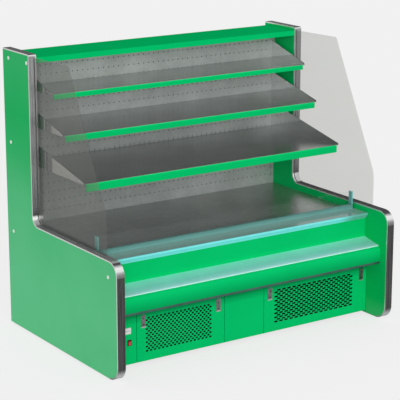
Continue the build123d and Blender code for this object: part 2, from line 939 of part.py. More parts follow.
def service_door(span, margins, pitch):
    """Perforated door: a sheet with staggered six-sided openings and its edges turned back."""
    x_span = (span[0] + door_gap, span[1] - door_gap)
    z_span = (lower_panel_bottom, z_door_top)
    depth = panel_edge_depth - door_rear_clearance
    tip = (pitch - grille_bar) / 2
    flat = tip - grille_opening_taper
    rise = grille_opening_height / 2
    corners = ((-tip, 0), (-flat, rise), (flat, rise), (tip, 0), (flat, -rise), (-flat, -rise))
    front = Plane(origin=(0, y_lower_panel, 0), x_dir=(1, 0, 0), z_dir=(0, 1, 0))
    opening = extrude(front * make_face(Polyline(*corners, close=True)), amount=sheet)
    open_x = (span[0] + margins[0] + tip, span[1] - margins[1] - tip)
    open_z = (z_span[0] + grille_bottom_margin, z_span[1] - grille_top_margin)
    places = staggered_grid(open_x, open_z, pitch, grille_row_pitch)
    openings = [Pos(x, 0, z) * opening for x, z in places]
    return tray(x_span, y_lower_panel, depth, z_span).cut(*openings)


def strap_centres(span):
    """Middles of a door's two straps."""
    return span[0] + strap_inset, span[1] - strap_inset


def knuckle_bore():
    """Bore of the turning knuckles round their pins."""
    return hinge_pin_diameter + 2 * hinge_running_clearance


def door_strap(x):
    """Strap on the door's face, with its rolled knuckle and screw heads."""
    x_span = centred_span(x, strap_width)
    z_foot = z_hinge - strap_length
    y_span = (y_lower_panel - strap_thickness, y_lower_panel)
    plate = block(x_span, y_span, (z_foot, z_door_top))
    tongue = block(centred_span(x, knuckle_length), y_span, (z_door_top, z_hinge))
    knuckle = rod((x - knuckle_length / 2, y_hinge, z_hinge), (1, 0, 0), knuckle_diameter, knuckle_length)
    strap = plate + tongue + knuckle
    strap -= rod((x - knuckle_length, y_hinge, z_hinge), (1, 0, 0), knuckle_bore(), 2 * knuckle_length)
    step = (z_door_top - z_foot) / strap_screw_count
    for i in range(strap_screw_count):
        centre = (x, y_span[0], z_foot + (i + 0.5) * step)
        strap += rod(centre, (0, -1, 0), strap_screw_diameter, strap_screw_height)
    return strap


def door_straps(span):
    """The two straps of one door."""
    return group([door_strap(x) for x in strap_centres(span)])


def hinge_bracket(x):
    """Fixed half of a hinge: two arms from the frame's rail, either side of the knuckle."""
    arms = []
    z_span = (z_door_top + hinge_arm_door_gap, z_hinge + knuckle_diameter / 2)
    inner = knuckle_length / 2 + knuckle_side_gap
    for side in (-1, 1):
        x_span = sorted((x + side * inner, x + side * (inner + hinge_arm_thickness)))
        arm = block(x_span, (y_hinge, y_frame_front), z_span)
        arm += rod((x_span[0], y_hinge, z_hinge), (1, 0, 0), knuckle_diameter, hinge_arm_thickness)
        arm -= rod((x_span[0], y_hinge, z_hinge), (1, 0, 0), hinge_pin_diameter, hinge_arm_thickness)
        arms.append(arm)
    return arms


def hinge_pin(x):
    """Pin through one hinge."""
    length = knuckle_length + 2 * (knuckle_side_gap + hinge_arm_thickness)
    return rod((x - length / 2, y_hinge, z_hinge), (1, 0, 0), hinge_pin_diameter, length)


def hinge_middles():
    """Middles of all four hinges."""
    return strap_centres(left_door_span) + strap_centres(right_door_span)


def key_centre(index):
    """Centre of a thermostat key, as (x, z); the keys stand right of the window."""
    x, z = thermostat_centre()
    x_keys = x + thermostat_width / 2 - window_inset - key_diameter / 2
    return x_keys - index * key_pitch, z


def thermostat_case():
    """Thermostat: bezel on the panel's face and body through its opening."""
    x, z = thermostat_centre()
    y_bezel = y_lower_panel - thermostat_bezel
    bezel = block(
        centred_span(x, thermostat_width),
        (y_bezel, y_lower_panel),
        centred_span(z, thermostat_height),
    )
    corners = bezel.edges().filter_by(Axis.Y)
    bezel = fillet(corners, thermostat_rim)
    body = block(
        centred_span(x, thermostat_width - 2 * thermostat_rim),
        (y_lower_panel, y_lower_panel + thermostat_body_depth),
        centred_span(z, thermostat_height - 2 * thermostat_rim),
    )
    case = bezel + body - thermostat_window()
    bore = key_diameter + 2 * key_clearance
    for index in range(3):
        x_key, z_key = key_centre(index)
        case -= rod((x_key, y_bezel, z_key), (0, 1, 0), bore, key_bore_depth)
    return case


def thermostat_window():
    """Pale display window, flush in the bezel."""
    x, z = thermostat_centre()
    y_bezel = y_lower_panel - thermostat_bezel
    x_low = x - thermostat_width / 2 + window_inset
    y_span = (y_bezel, y_bezel + window_thickness)
    return block((x_low, x_low + window_width), y_span, centred_span(z, window_height))


def thermostat_key(index):
    """Round key in its bore, standing proud by more than its travel."""
    x, z = key_centre(index)
    y_bezel = y_lower_panel - thermostat_bezel
    length = key_proud + key_bore_depth - key_travel
    return rod((x, y_bezel - key_proud, z), (0, 1, 0), key_diameter, length)


def switch_bezel_and_body():
    """Rocker switch's bezel and its open housing behind the panel."""
    x, z = switch_centre()
    y_bezel = y_lower_panel - switch_bezel
    y_back = y_lower_panel + switch_body_depth
    bezel = block(centred_span(x, switch_width), (y_bezel, y_lower_panel), centred_span(z, switch_height))
    body_x = centred_span(x, switch_width - 2 * switch_wall)
    body_z = centred_span(z, switch_height - 2 * switch_wall)
    housing = bezel + block(body_x, (y_lower_panel, y_back), body_z)
    well_z = centred_span(z, 2 * (rocker_half_height + rocker_end_clearance))
    housing -= block(rocker_well(), (y_bezel, y_back - switch_wall), well_z)
    hole = rocker_axle_diameter + 2 * rocker_axle_clearance
    y_pivot = y_lower_panel + rocker_pivot_depth
    return housing - rod((body_x[0], y_pivot, z), (1, 0, 0), hole, body_x[1] - body_x[0])


def rocker_well():
    """Width of the housing's well, as (low, high)."""
    return centred_span(switch_centre()[0], switch_width - 4 * switch_wall)


def switch_rocker():
    """Dished rocker on its axle, stored at its off position."""
    x, z = switch_centre()
    well = rocker_well()
    x_span = (well[0] + rocker_side_clearance, well[1] - rocker_side_clearance)
    face = -rocker_face_stand
    tip = face - rocker_dish
    half = rocker_half_height
    section = outline(
        (rocker_tail, -half / 2),
        (rocker_tail, half / 2),
        (-rocker_face_stand / 2, half),
        (tip, half),
        (face, 0),
        (tip, -half),
        (-rocker_face_stand / 2, -half),
    )
    rocker = prism(section, x_span[0], x_span[1])
    axle_length = switch_width - 2 * switch_wall
    rocker += rod((x - axle_length / 2, 0, 0), (1, 0, 0), rocker_axle_diameter, axle_length)
    return Pos(0, y_lower_panel + rocker_pivot_depth, z) * Rot(rocker_tilt, 0, 0) * rocker


def unit_base_plate():
    """Plate on the frame that carries the condensing unit."""
    x_span = (centre_span[1] - frame_tube / 2, inner_x - unit_side_gap)
    y_start = y_frame_front + frame_tube
    y_span = (y_start, y_start + unit_plate_depth)
    return block(x_span, y_span, (z_unit, z_unit + unit_plate_thickness))


def fin_block(length, depth, height, pitch, thickness, core):
    """Finned core in plan: upright fins along the length, joined by a core through them."""
    count = floor((length - thickness) / pitch) + 1
    first = -(count - 1) * pitch / 2
    fins = [Pos(first + i * pitch, 0, 0) * Box(thickness, depth, height) for i in range(count)]
    return core.fuse(*fins)


def condenser_coil():
    """Finned condenser with its end plates, standing on the base plate."""
    core = Box(condenser_width, condenser_core_depth, condenser_height)
    fins = fin_block(
        condenser_width,
        condenser_depth,
        condenser_height,
        condenser_fin_pitch,
        condenser_fin_thickness,
        core,
    )
    return Pos(x_fan, y_condenser + condenser_depth / 2, z_fan) * fins


def fan_shroud():
    """Open-backed box that guides the condenser's air to the fan."""
    x_span = centred_span(x_fan, condenser_width)
    z_span = (z_condenser, z_condenser + condenser_height)
    box = block(x_span, (y_shroud, y_shroud + shroud_depth), z_span)
    hollow_x = (x_span[0] + shroud_sheet, x_span[1] - shroud_sheet)
    hollow_z = (z_span[0] + shroud_sheet, z_span[1] - shroud_sheet)
    box -= block(hollow_x, (y_shroud, y_shroud + shroud_depth - shroud_sheet), hollow_z)
    hole = condenser_fan_diameter + 2 * fan_tip_clearance
    return box - rod((x_fan, y_shroud, z_fan), (0, 1, 0), hole, shroud_depth)


def fan(diameter):
    """Fan with pitched blades, its axis along Y through the origin."""
    hub = rod((0, -fan_hub_length / 2, 0), (0, 1, 0), fan_hub_diameter, fan_hub_length)
    root = fan_hub_diameter / 2 - fan_root_sink
    reach = diameter / 2 - root
    blade = Pos(root + reach / 2, 0, 0) * Rot(fan_blade_pitch, 0, 0) * Box(
        reach, fan_blade_thickness, fan_blade_chord
    )
    blade &= rod((0, -fan_hub_length, 0), (0, 1, 0), diameter, 2 * fan_hub_length)
    turn = 360.0 / fan_blade_count
    rotor = hub.fuse(*[Rot(0, i * turn, 0) * blade for i in range(fan_blade_count)])
    bore = fan_shaft_diameter + 2 * fan_running_clearance
    return rotor - rod((0, -fan_hub_length, 0), (0, 1, 0), bore, 2 * fan_hub_length)


def fan_motor(diameter, length):
    """Motor behind a fan whose hub is at the origin, with its shaft through the hub."""
    y_face = fan_hub_length / 2 + fan_motor_gap
    body = rod((0, y_face, 0), (0, 1, 0), diameter, length)
    shaft = rod((0, -fan_hub_length / 2, 0), (0, 1, 0), fan_shaft_diameter, fan_hub_length + fan_motor_gap)
    return body + shaft


def condenser_fan_place():
    """Centre of the condenser fan's hub."""
    return x_fan, y_shroud + shroud_depth - shroud_sheet / 2, z_fan


def condenser_fan():
    return Pos(*condenser_fan_place()) * fan(condenser_fan_diameter)


def condenser_fan_motor():
    """Fan motor on a stand from the base plate."""
    x, y, z = condenser_fan_place()
    motor = Pos(x, y, z) * fan_motor(fan_motor_diameter, fan_motor_length)
    y_stand = y + fan_hub_length / 2 + fan_motor_gap + fan_motor_length
    stand = block(
        centred_span(x, motor_stand_width),
        (y_stand - motor_stand_thickness, y_stand),
        (z_condenser, z),
    )
    return motor + stand


def compressor_place():
    """Axis of the compressor, as (x, y)."""
    return x_fan, condenser_fan_place()[1] + compressor_behind_fan


def compressor():
    """Hermetic compressor on its foot plate and grommets, with a stub on top."""
    x, y = compressor_place()
    z_plate = z_condenser + compressor_foot
    body = rod((x, y, z_plate), (0, 0, 1), compressor_diameter, compressor_height)
    body = fillet(body.edges().sort_by(Axis.Z)[-1], compressor_dome_radius)
    half_spread = compressor_foot_spread / 2
    plate_reach = compressor_foot_spread + compressor_grommet_diameter
    body += block(
        centred_span(x, plate_reach),
        centred_span(y, plate_reach),
        (z_plate, z_plate + compressor_foot_plate),
    )
    for side_x in (-1, 1):
        for side_y in (-1, 1):
            foot = (x + side_x * half_spread, y + side_y * half_spread, z_condenser)
            body += rod(foot, (0, 0, 1), compressor_grommet_diameter, compressor_foot)
    stub = rod((x, y, z_plate), (0, 0, 1), pipe_diameter, compressor_height + compressor_stub)
    return body + stub


def evaporator_coil():
    """Finned evaporator on its end plates, along the tub's floor."""
    core = Box(evaporator_length, evaporator_depth, evaporator_core_height)
    fins = fin_block(
        evaporator_length,
        evaporator_depth,
        evaporator_height,
        evaporator_fin_pitch,
        evaporator_fin_thickness,
        core,
    )
    z_low = z_tub_floor + evaporator_floor_gap
    y_middle = y_evaporator + evaporator_depth / 2
    coil = Pos(0, y_middle, z_low + evaporator_height / 2) * fins
    y_span = (y_evaporator, y_evaporator + evaporator_depth)
    z_span = (z_tub_floor, z_low + evaporator_height)
    for side in (-1, 1):
        x_near = side * evaporator_length / 2
        x_far = side * (evaporator_length / 2 + evaporator_end_plate)
        coil += block(sorted((x_near, x_far)), y_span, z_span)
    return coil


def evaporator_fan_place(side):
    """Centre of an evaporator fan's hub."""
    return side * fan_spacing / 2, y_fan_plate + fan_plate_sheet / 2, z_evaporator_fan


def evaporator_fan_plate():
    """Plate across the tub with two fan holes, and a motor behind each on its spider."""
    half = evaporator_length / 2 + fan_plate_margin
    z_span = (z_tub_floor, z_tub_floor + fan_plate_height)
    y_back = y_fan_plate + fan_plate_sheet
    plate = block((-half, half), (y_fan_plate, y_back), z_span)
    hole = evaporator_fan_diameter + 2 * fan_tip_clearance
    pieces = []
    for side in (-1, 1):
        x, y, z = evaporator_fan_place(side)
        plate -= rod((x, y_fan_plate, z), (0, 1, 0), hole, fan_plate_sheet)
        motor_face = y + fan_hub_length / 2 + fan_motor_gap
        x_span = centred_span(x, spider_width)
        spider = block(x_span, (motor_face, motor_face + spider_thickness), z_span)
        for z_end in (z_span[0], z_span[1] - spider_thickness):
            spider += block(x_span, (y_back, motor_face), (z_end, z_end + spider_thickness))
        motor = fan_motor(evaporator_motor_diameter, evaporator_motor_length)
        pieces.append(Pos(x, y, z) * motor + spider)
    return group([plate] + pieces)


def evaporator_fan(side):
    return Pos(*evaporator_fan_place(side)) * fan(evaporator_fan_diameter)


def pipe_places():
    """Where the two refrigerant pipes pass the tub's floor, as (x, y)."""
    x, y = compressor_place()
    spread = compressor_diameter / 2 + 2 * pipe_bend
    return (x - spread, y), (x + spread, y)


def refrigerant_pipes():
    """Suction pipe from the compressor's stub, and liquid pipe from the condenser's top."""
    x, y = compressor_place()
    z_stub = z_condenser + compressor_foot + compressor_height + compressor_stub
    (x_suction, y_suction), (x_liquid, y_liquid) = pipe_places()
    z_inside = z_tub_floor + evaporator_floor_gap
    suction = FilletPolyline(
        (x, y, z_stub),
        (x, y, pipe_run_height),
        (x_suction, y_suction, pipe_run_height),
        (x_suction, y_suction, z_inside),
        radius=pipe_bend / 2,
    )
    y_coil = y_condenser + condenser_depth / 2
    z_coil = z_condenser + condenser_height
    liquid = FilletPolyline(
        (x_liquid, y_coil, z_coil),
        (x_liquid, y_coil, pipe_run_height),
        (x_liquid, y_liquid, pipe_run_height),
        (x_liquid, y_liquid, z_inside),
        radius=pipe_bend / 2,
    )
    pipes = []
    for path in (suction, liquid):
        start = Plane(origin=path @ 0, z_dir=path % 0)
        pipes.append(sweep(start * Circle(pipe_diameter / 2), path=path))
    return group(pipes)


def drain_place():
    """Drain in the tub's floor, as (x, y)."""
    return -fan_spacing / 2, y_wall_front - drain_rear_gap


def drain_outlet():
    """Flanged drain through the tub's floor, with a hose spigot under it."""
    x, y = drain_place()
    z_end = frame_top - drain_drop
    up = (0, 0, 1)
    flange = rod((x, y, z_tub_floor), up, drain_flange_diameter, drain_flange)
    collar = rod((x, y, frame_top), up, drain_collar_diameter, tub_wall)
    spigot = rod((x, y, z_end), up, drain_spigot_diameter, drain_drop)
    bore = drain_spigot_diameter - 2 * drain_wall
    return flange + collar + spigot - rod((x, y, z_end), up, bore, drain_drop + tub_wall + drain_flange)


def cable_gland():
    """Gland in the rear cover: nut, dome and threaded tail with a cable bore."""
    x, z = gland_place()
    plane = Plane(origin=(x, y_sheet_rear, z), z_dir=(0, 1, 0))
    nut = extrude(plane * RegularPolygon(gland_nut_width / 2, 6, major_radius=False), amount=gland_nut_length)
    dome = rod((x, y_sheet_rear + gland_nut_length, z), (0, 1, 0), gland_thread_diameter, gland_dome_length)
    dome = fillet(dome.edges().sort_by(Axis.Y)[-1], gland_dome_length / 2)
    tail = rod((x, y_sheet_rear, z), (0, -1, 0), gland_thread_diameter, gland_tail)
    length = gland_tail + gland_nut_length + gland_dome_length
    bore = rod((x, y_sheet_rear - gland_tail, z), (0, 1, 0), gland_bore, length)
    return nut + dome + tail - bore


def build_nodes():
    """Every piece of the case, by name."""
    left_panel = end_panel()
    left_edging = end_edging()
    left_caps = screw_caps()
    left_upright = upright()
    brackets = [shelf_bracket(index) for index in range(len(shelf_names))]
    nodes = {
        "left_end_panel": left_panel,
        "right_end_panel": mirrored(left_panel),
        "left_end_edging": left_edging,
        "right_end_edging": mirrored(left_edging),
        "end_screw_caps": group(left_caps + [mirrored(cap) for cap in left_caps]),
        "left_end_glass": end_pane(),
        "right_end_glass": mirrored(end_pane()),
        "base_frame": base_frame(),
        "levelling_feet": levelling_feet(),
        "insulated_tub": insulated_tub(),
        "insulated_back_wall": insulated_back_wall(),
        "rear_cover_sheet": rear_cover_sheet(),
        "perforated_back_panel": perforated_back_panel(),
        "slotted_uprights": group([left_upright, mirrored(left_upright)]),
        "top_cap": top_cap(),
        "shelf_brackets": group(brackets + [mirrored(bracket) for bracket in brackets]),
        "display_deck": display_deck(),
        "deck_rear_rail": deck_rear_rail(),
        "ledge_glass": ledge_glass(),
        "ledge_front_rail": ledge_front_rail(),
        "riser_glass": riser_glass(),
        "riser_channel": riser_channel(),
        "fascia_panel": fascia_panel(),
        "bumper_shell": bumper_shell(),
        "bumper_top_plate": bumper_top_plate(),
        "bumper_trim": bumper_trim(),
        "control_panel": control_panel(),
        "centre_panel": centre_panel(),
        "left_service_door": service_door(left_door_span, left_grille_margins, left_grille_pitch),
        "right_service_door": service_door(right_door_span, right_grille_margins, right_grille_pitch),
        "left_door_straps": door_straps(left_door_span),
        "right_door_straps": door_straps(right_door_span),
        "hinge_brackets": group([arm for x in hinge_middles() for arm in hinge_bracket(x)]),
        "hinge_pins": group([hinge_pin(x) for x in hinge_middles()]),
        "thermostat_case": thermostat_case(),
        "thermostat_window": thermostat_window(),
        "thermostat_set_key": thermostat_key(2),
        "thermostat_down_key": thermostat_key(1),
        "thermostat_up_key": thermostat_key(0),
        "switch_bezel": switch_bezel_and_body(),
        "switch_rocker": switch_rocker(),
        "unit_base_plate": unit_base_plate(),
        "compressor": compressor(),
        "condenser_coil": condenser_coil(),
        "fan_shroud": fan_shroud(),
        "condenser_fan_motor": condenser_fan_motor(),
        "condenser_fan": condenser_fan(),
        "evaporator_coil": evaporator_coil(),
        "evaporator_fan_plate": evaporator_fan_plate(),
        "left_evaporator_fan": evaporator_fan(-1),
        "right_evaporator_fan": evaporator_fan(1),
        "refrigerant_pipes": refrigerant_pipes(),
        "drain_outlet": drain_outlet(),
        "cable_gland": cable_gland(),
    }
    for index, name in enumerate(shelf_names):
        nodes[f"{name}_shelf_deck"] = shelf_deck(index)
        nodes[f"{name}_shelf_strip"] = shelf_strip(index)
    return nodes


os.makedirs("parts", exist_ok=True)
for node_name, shape in build_nodes().items():
    export_step(shape, f"parts/{node_name}.step")
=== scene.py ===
"""Looks of the open refrigerated produce case: finishes, small marks and screws, light and camera."""
import json
import math

import bmesh
import bpy
from mathutils import Matrix, Vector


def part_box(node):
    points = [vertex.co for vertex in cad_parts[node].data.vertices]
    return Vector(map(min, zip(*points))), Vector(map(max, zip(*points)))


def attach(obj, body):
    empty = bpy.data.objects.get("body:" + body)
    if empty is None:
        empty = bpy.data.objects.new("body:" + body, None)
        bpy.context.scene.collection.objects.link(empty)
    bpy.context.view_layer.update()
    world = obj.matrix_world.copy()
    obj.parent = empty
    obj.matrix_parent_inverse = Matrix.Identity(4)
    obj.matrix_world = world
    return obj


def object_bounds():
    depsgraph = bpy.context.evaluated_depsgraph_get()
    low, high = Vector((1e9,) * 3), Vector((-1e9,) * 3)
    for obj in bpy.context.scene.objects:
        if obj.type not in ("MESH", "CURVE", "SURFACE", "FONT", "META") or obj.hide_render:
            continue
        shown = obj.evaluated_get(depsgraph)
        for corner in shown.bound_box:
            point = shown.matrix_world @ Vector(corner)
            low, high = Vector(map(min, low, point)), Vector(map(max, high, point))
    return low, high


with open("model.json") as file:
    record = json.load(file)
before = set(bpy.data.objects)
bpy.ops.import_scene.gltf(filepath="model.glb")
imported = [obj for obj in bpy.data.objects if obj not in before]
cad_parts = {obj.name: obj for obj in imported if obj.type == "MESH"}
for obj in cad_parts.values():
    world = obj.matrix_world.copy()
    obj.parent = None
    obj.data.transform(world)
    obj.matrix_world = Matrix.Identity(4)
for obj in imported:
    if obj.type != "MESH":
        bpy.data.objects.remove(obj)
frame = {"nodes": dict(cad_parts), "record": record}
cad_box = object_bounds()
nodes = frame["nodes"]

# Camera, from the perspective of the case's edges
camera_place = (-4.7183, -7.0094, 2.9301)
camera_azimuth = 33.888
camera_elevation = 14.7175
camera_lens = 141.87
camera_sensor = 36.0
camera_reach = 200.0

# Light
sky_strength = 0.50
key_strength = 1.75
key_from = (-0.33, -0.90, 0.22)
key_softness = 35.0

# Floor and background, with the dark part of the floor under the case
background_level = 0.88
floor_albedo = 0.72
floor_shadow_share = 0.22
floor_half_size = 45.0
floor_light = sky_strength + key_strength * Vector(key_from).normalized().z / math.pi
shade_inset = 0.06
shade_front = 0.27
shade_blur = 0.08

# Surfaces in general; over the facing span a face comes to count as looking along an axis
white = (1.0, 1.0, 1.0)
edge_radius = 0.0012
edge_samples = 4
facing_span = (0.90, 0.97)
glass_skin = (0.93, 0.96, 0.95)
glass_head_on = 0.012
glass_glance_power = 5.0
cut_edge_gloss = 0.3

# Greens
paint_green = (0.001, 0.50, 0.137)
strip_green = (0.0005, 0.56, 0.152)
laminate_green = (0.002, 0.55, 0.138)
painted_reflection_green = (0.15, 0.735, 0.335)
green_in_painted_shade = (0.004, 0.20, 0.09)

# End panels: distance of the outer faces from the middle, and the share by height of a painted
# reflection, a paler green that stands in for the light that the glossy laminate mirrors
panel_outside = (0.7, 0.84)
panel_reflection_shares = ((0.3, 1.0), (0.78, 0.65), (1.0, 0.2), (1.22, 0.03), (1.5, 0.2))
panel_foot_heights = (0.03, 0.12)
panel_foot_share = 0.3

# Groove in an end panel that holds its pane
groove_clearance = 0.0015
groove_side_blur = 0.0002
groove_end_blur = 0.0005
gasket_grey = (0.65, 0.65, 0.655)

# Edging strips: tones of the dark and light streaks, up the posts and elsewhere; the lighter tones up the
# posts and behind the left pane are painted reflections, and painted shade darkens the posts towards the
# step
edging_sheen = (0.25, 0.25, 0.25)
streak_span = (0.34, 0.66)
web_streaks = ((0.045, 0.045, 0.046), (0.095, 0.092, 0.094))
post_streaks = ((0.28, 0.285, 0.29), (0.38, 0.385, 0.39))
behind_pane_streaks = ((0.44, 0.445, 0.45), (0.60, 0.605, 0.61))
post_foot_heights = (0.66, 0.74)
post_shading = ((0.75, (0.78, 0.78, 0.79)), (1.30, (1.05, 1.05, 1.06)))

# Edging strips: the painted highlight on the corner at the posts' feet, and the painted reflection on the
# left step in front of it
left_side = (-0.1, 0.1)
step_top_heights = (0.90, 1.0)
step_reflection_tone = (0.52, 0.52, 0.525)
step_corner_heights = (0.642, 0.688)
step_corner_blur = 0.006
step_corner_highlight = (0.92, 0.92, 0.93)

# Edging strips: painted highlights on the bends by how much they look up, a painted reflection on the
# undersides, and painted highlights on the lips by height
bend_highlight_shares = (
    (0.0, 0.0),
    (0.08, 0.13),
    (0.2, 0.22),
    (0.33, 0.42),
    (0.46, 0.9),
    (0.66, 1.0),
    (0.84, 0.0),
)
bend_highlight_tone = (0.90, 0.90, 0.91)
underside_span = (0.1, 0.8)
underside_share = 0.8
underside_reflection_tone = (0.85, 0.85, 0.86)
lip_highlight_levels = ((0.02, 0.25), (0.10, 0.82))

# Door straps: their screws, and rises above their foot of the painted highlight along the foot and of the
# green in painted shade over the upper end
strap_thickness = 0.0025
strap_screw_rise = 0.0004
strap_screw_blur = 0.0002
strap_screw_tone = (0.05, 0.048, 0.05)
knuckle_blur = 0.002
foot_highlight_rises = (0.005, 0.007)
foot_highlight_tone = (0.45, 0.43, 0.45)
green_top_rise = 0.068
green_top_blur = 0.003

# Front: painted light and shade, as how much lighter or darker its paint is, by drops under an edge or
# rises over it: painted shadow under the trim, painted shade down the bumper, painted bounce light at the
# fascia's foot and painted highlights along the strips' top edges
trim_shadow_drops = ((0.094, 1.13), (0.080, 0.96), (0.065, 0.84), (0.054, 0.66), (0.047, 0.50))
bumper_shading_factors = (0.74, 1.42)
fascia_bounce_rises = ((0.0, 1.22), (0.03, 1.09))
strip_highlight_drops = ((0.010, 0.98), (0.002, 1.25))
cap_factor = 1.06

# Ledge rail: tones by share of its height, and painted shade that dims it by distance from its right end
rail_tones = ((0.0, (0.23, 0.92, 0.94)), (1.0, (0.21, 0.86, 0.86)))
rail_end_shade = ((0.20, white), (0.10, (0.75, 0.56, 0.48)))

# Plate on the bumper: tones by share of its depth, with a painted highlight along its front edge and
# painted light towards its rear
plate_tones = (
    (0.0, (0.62, 0.95, 1.0)),
    (0.15, (0.36, 0.76, 0.74)),
    (0.40, (0.26, 0.74, 0.66)),
    (0.75, (0.29, 0.86, 0.72)),
    (1.0, (0.27, 0.96, 0.83)),
)

# Strip that the riser stands in: tones at its foot, at two rises above its foot and at its top
riser_foot_tone = (0.18, 0.42, 0.39)
riser_tones = ((0.022, (0.12, 0.29, 0.26)), (0.028, (0.16, 0.50, 0.48)))
riser_top_tone = (0.19, 0.55, 0.53)

# Marks in general: how far they stand out of their surface and reach into it
mark_height = 0.0002
mark_sink = 0.00005

# Marks on the thermostat; the letters are the lit bars of a digit
first_digit = "acdfg"
second_digit = "abcdef"
digit_size = (0.0058, 0.0105)
digit_stroke = 0.0013
digit_bar = 0.9 * digit_stroke
digit_pitch = 0.0095
key_mark_size = 0.0032
key_mark_stroke = 0.0007

# Marks on the switch, and the direction of the facets that they stand on
rocker_mark_size = 0.0048
rocker_mark_stroke = 0.0009
facet_forward = -0.9
facet_sideways = 0.01

# Screws of the rear cover; the dome is in shares of the head's radius and height
cover_screw_radius = 0.0045
cover_screw_height = 0.0028
cover_screw_dome = ((1.0, 0.35), (0.86, 0.75), (0.62, 1.0))
cover_screw_inset = 0.018
cover_screw_pitch = 0.24
socket_radius = 0.0021
socket_depth = 0.0016
socket_sides = 6
round_sides = 24

# Places in the case that the finishes follow
pane_low, pane_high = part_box("right_end_glass")
groove_x = (pane_low.x - groove_clearance, pane_high.x + groove_clearance)
groove_rear = pane_high.y + groove_clearance
door_low, door_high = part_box("left_service_door")
strap_screw_face = door_low.y - strap_thickness - strap_screw_rise
knuckle_foot = door_high.z
strap_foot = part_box("left_door_straps")[0].z
rail_low, rail_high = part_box("ledge_front_rail")
plate_low, plate_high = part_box("bumper_top_plate")
bumper_low, bumper_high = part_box("bumper_shell")
trim_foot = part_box("bumper_trim")[0].z
riser_low, riser_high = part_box("riser_channel")


def new_material(name):
    """Empty principled material, with its node tree and shader."""
    material = bpy.data.materials.new(name)
    material.use_nodes = True
    tree = material.node_tree
    return material, tree, tree.nodes["Principled BSDF"]


def noise(tree, scale, detail=3.0, stretch=(1.0, 1.0, 1.0), roughness=0.55):
    """Noise in object space, optionally drawn out along an axis."""
    coords = tree.nodes.new("ShaderNodeTexCoord")
    mapping = tree.nodes.new("ShaderNodeMapping")
    mapping.inputs["Scale"].default_value = stretch
    texture = tree.nodes.new("ShaderNodeTexNoise")
    texture.inputs["Scale"].default_value = scale
    texture.inputs["Detail"].default_value = detail
    texture.inputs["Roughness"].default_value = roughness
    tree.links.new(coords.outputs["Object"], mapping.inputs["Vector"])
    tree.links.new(mapping.outputs["Vector"], texture.inputs["Vector"])
    return texture.outputs["Fac"]


def along(tree, source, axis):
    """One axis of the object's coordinates ("Object") or of its surface direction ("Normal")."""
    coords = tree.nodes.new("ShaderNodeTexCoord")
    split = tree.nodes.new("ShaderNodeSeparateXYZ")
    tree.links.new(coords.outputs[source], split.inputs["Vector"])
    return split.outputs[axis]


def arithmetic(tree, operation, first, second=None):
    """One step of arithmetic on an output and an output or a number."""
    step = tree.nodes.new("ShaderNodeMath")
    step.operation = operation
    tree.links.new(first, step.inputs[0])
    if isinstance(second, float):
        step.inputs[1].default_value = second
    elif second is not None:
        tree.links.new(second, step.inputs[1])
    return step.outputs["Value"]


def product(tree, first, second):
    """An output times an output or a number; of two masks, it is what they share."""
    return arithmetic(tree, "MULTIPLY", first, second)


def spread(tree, value, low, high, start=0.3, end=0.7, soft=False):
    """A value that runs from start to end, spread from low to high; soft eases both ends."""
    remap = tree.nodes.new("ShaderNodeMapRange")
    remap.interpolation_type = "SMOOTHSTEP" if soft else "LINEAR"
    remap.inputs["From Min"].default_value = start
    remap.inputs["From Max"].default_value = end
    remap.inputs["To Min"].default_value = low
    remap.inputs["To Max"].default_value = high
    tree.links.new(value, remap.inputs["Value"])
    return remap.outputs["Result"]


def rising(tree, value, start, end, soft=False):
    """Mask that rises from 0 at start to 1 at end."""
    return spread(tree, value, 0.0, 1.0, start, end, soft)


def falling(tree, value, start, end, soft=False):
    """Mask that falls from 1 at start to 0 at end."""
    return spread(tree, value, 1.0, 0.0, start, end, soft)


def levels(tree, mask, low, high):
    """A level that is low where a mask is 0 and high where it is 1."""
    return spread(tree, mask, low, high, 0.0, 1.0)


def facing(tree, axis, sign=0):
    """Mask of the faces that look along an axis; sign 0 takes both ways."""
    direction = along(tree, "Normal", axis)
    if sign == 0:
        direction = arithmetic(tree, "ABSOLUTE", direction)
    elif sign < 0:
        direction = product(tree, direction, -1.0)
    return rising(tree, direction, *facing_span)


def between(tree, value, low, high, blur):
    """Mask of the values from low to high, with blurred ends."""
    above = rising(tree, value, low - blur / 2, low + blur / 2, soft=True)
    below = falling(tree, value, high - blur / 2, high + blur / 2, soft=True)
    return product(tree, above, below)


def tones(tree, value, stops):
    """Colour ramp over a texture's values; each stop is (place, colour)."""
    ramp = tree.nodes.new("ShaderNodeValToRGB")
    elements = ramp.color_ramp.elements
    while len(elements) < len(stops):
        elements.new(0.5)
    for element, (place, colour) in zip(elements, stops):
        element.position = place
        element.color = (*colour, 1.0)
    tree.links.new(value, ramp.inputs["Fac"])
    return ramp.outputs["Color"]


def two_toned(tree, texture, dark, light, span=(0.32, 0.68)):
    """Tones from dark to light over the middle of a texture's values."""
    return tones(tree, texture, ((span[0], dark), (span[1], light)))


def graded(tree, axis, stops):
    """Colour that changes along an axis of the case; each stop is (metres, colour)."""
    first = stops[0][0]
    reach = stops[-1][0] - first
    share = rising(tree, along(tree, "Object", axis), first, first + reach)
    return tones(tree, share, [((place - first) / reach, colour) for place, colour in stops])


def grey(level):
    """Neutral colour of one level."""
    return (level, level, level)


def greys(stops):
    """Stops of (place, level) as stops of (place, colour)."""
    return [(place, grey(level)) for place, level in stops]


def placed(low, high, stops):
    """Stops given in shares of the way from low to high, as stops in metres."""
    return [(low + share * (high - low), colour) for share, colour in stops]


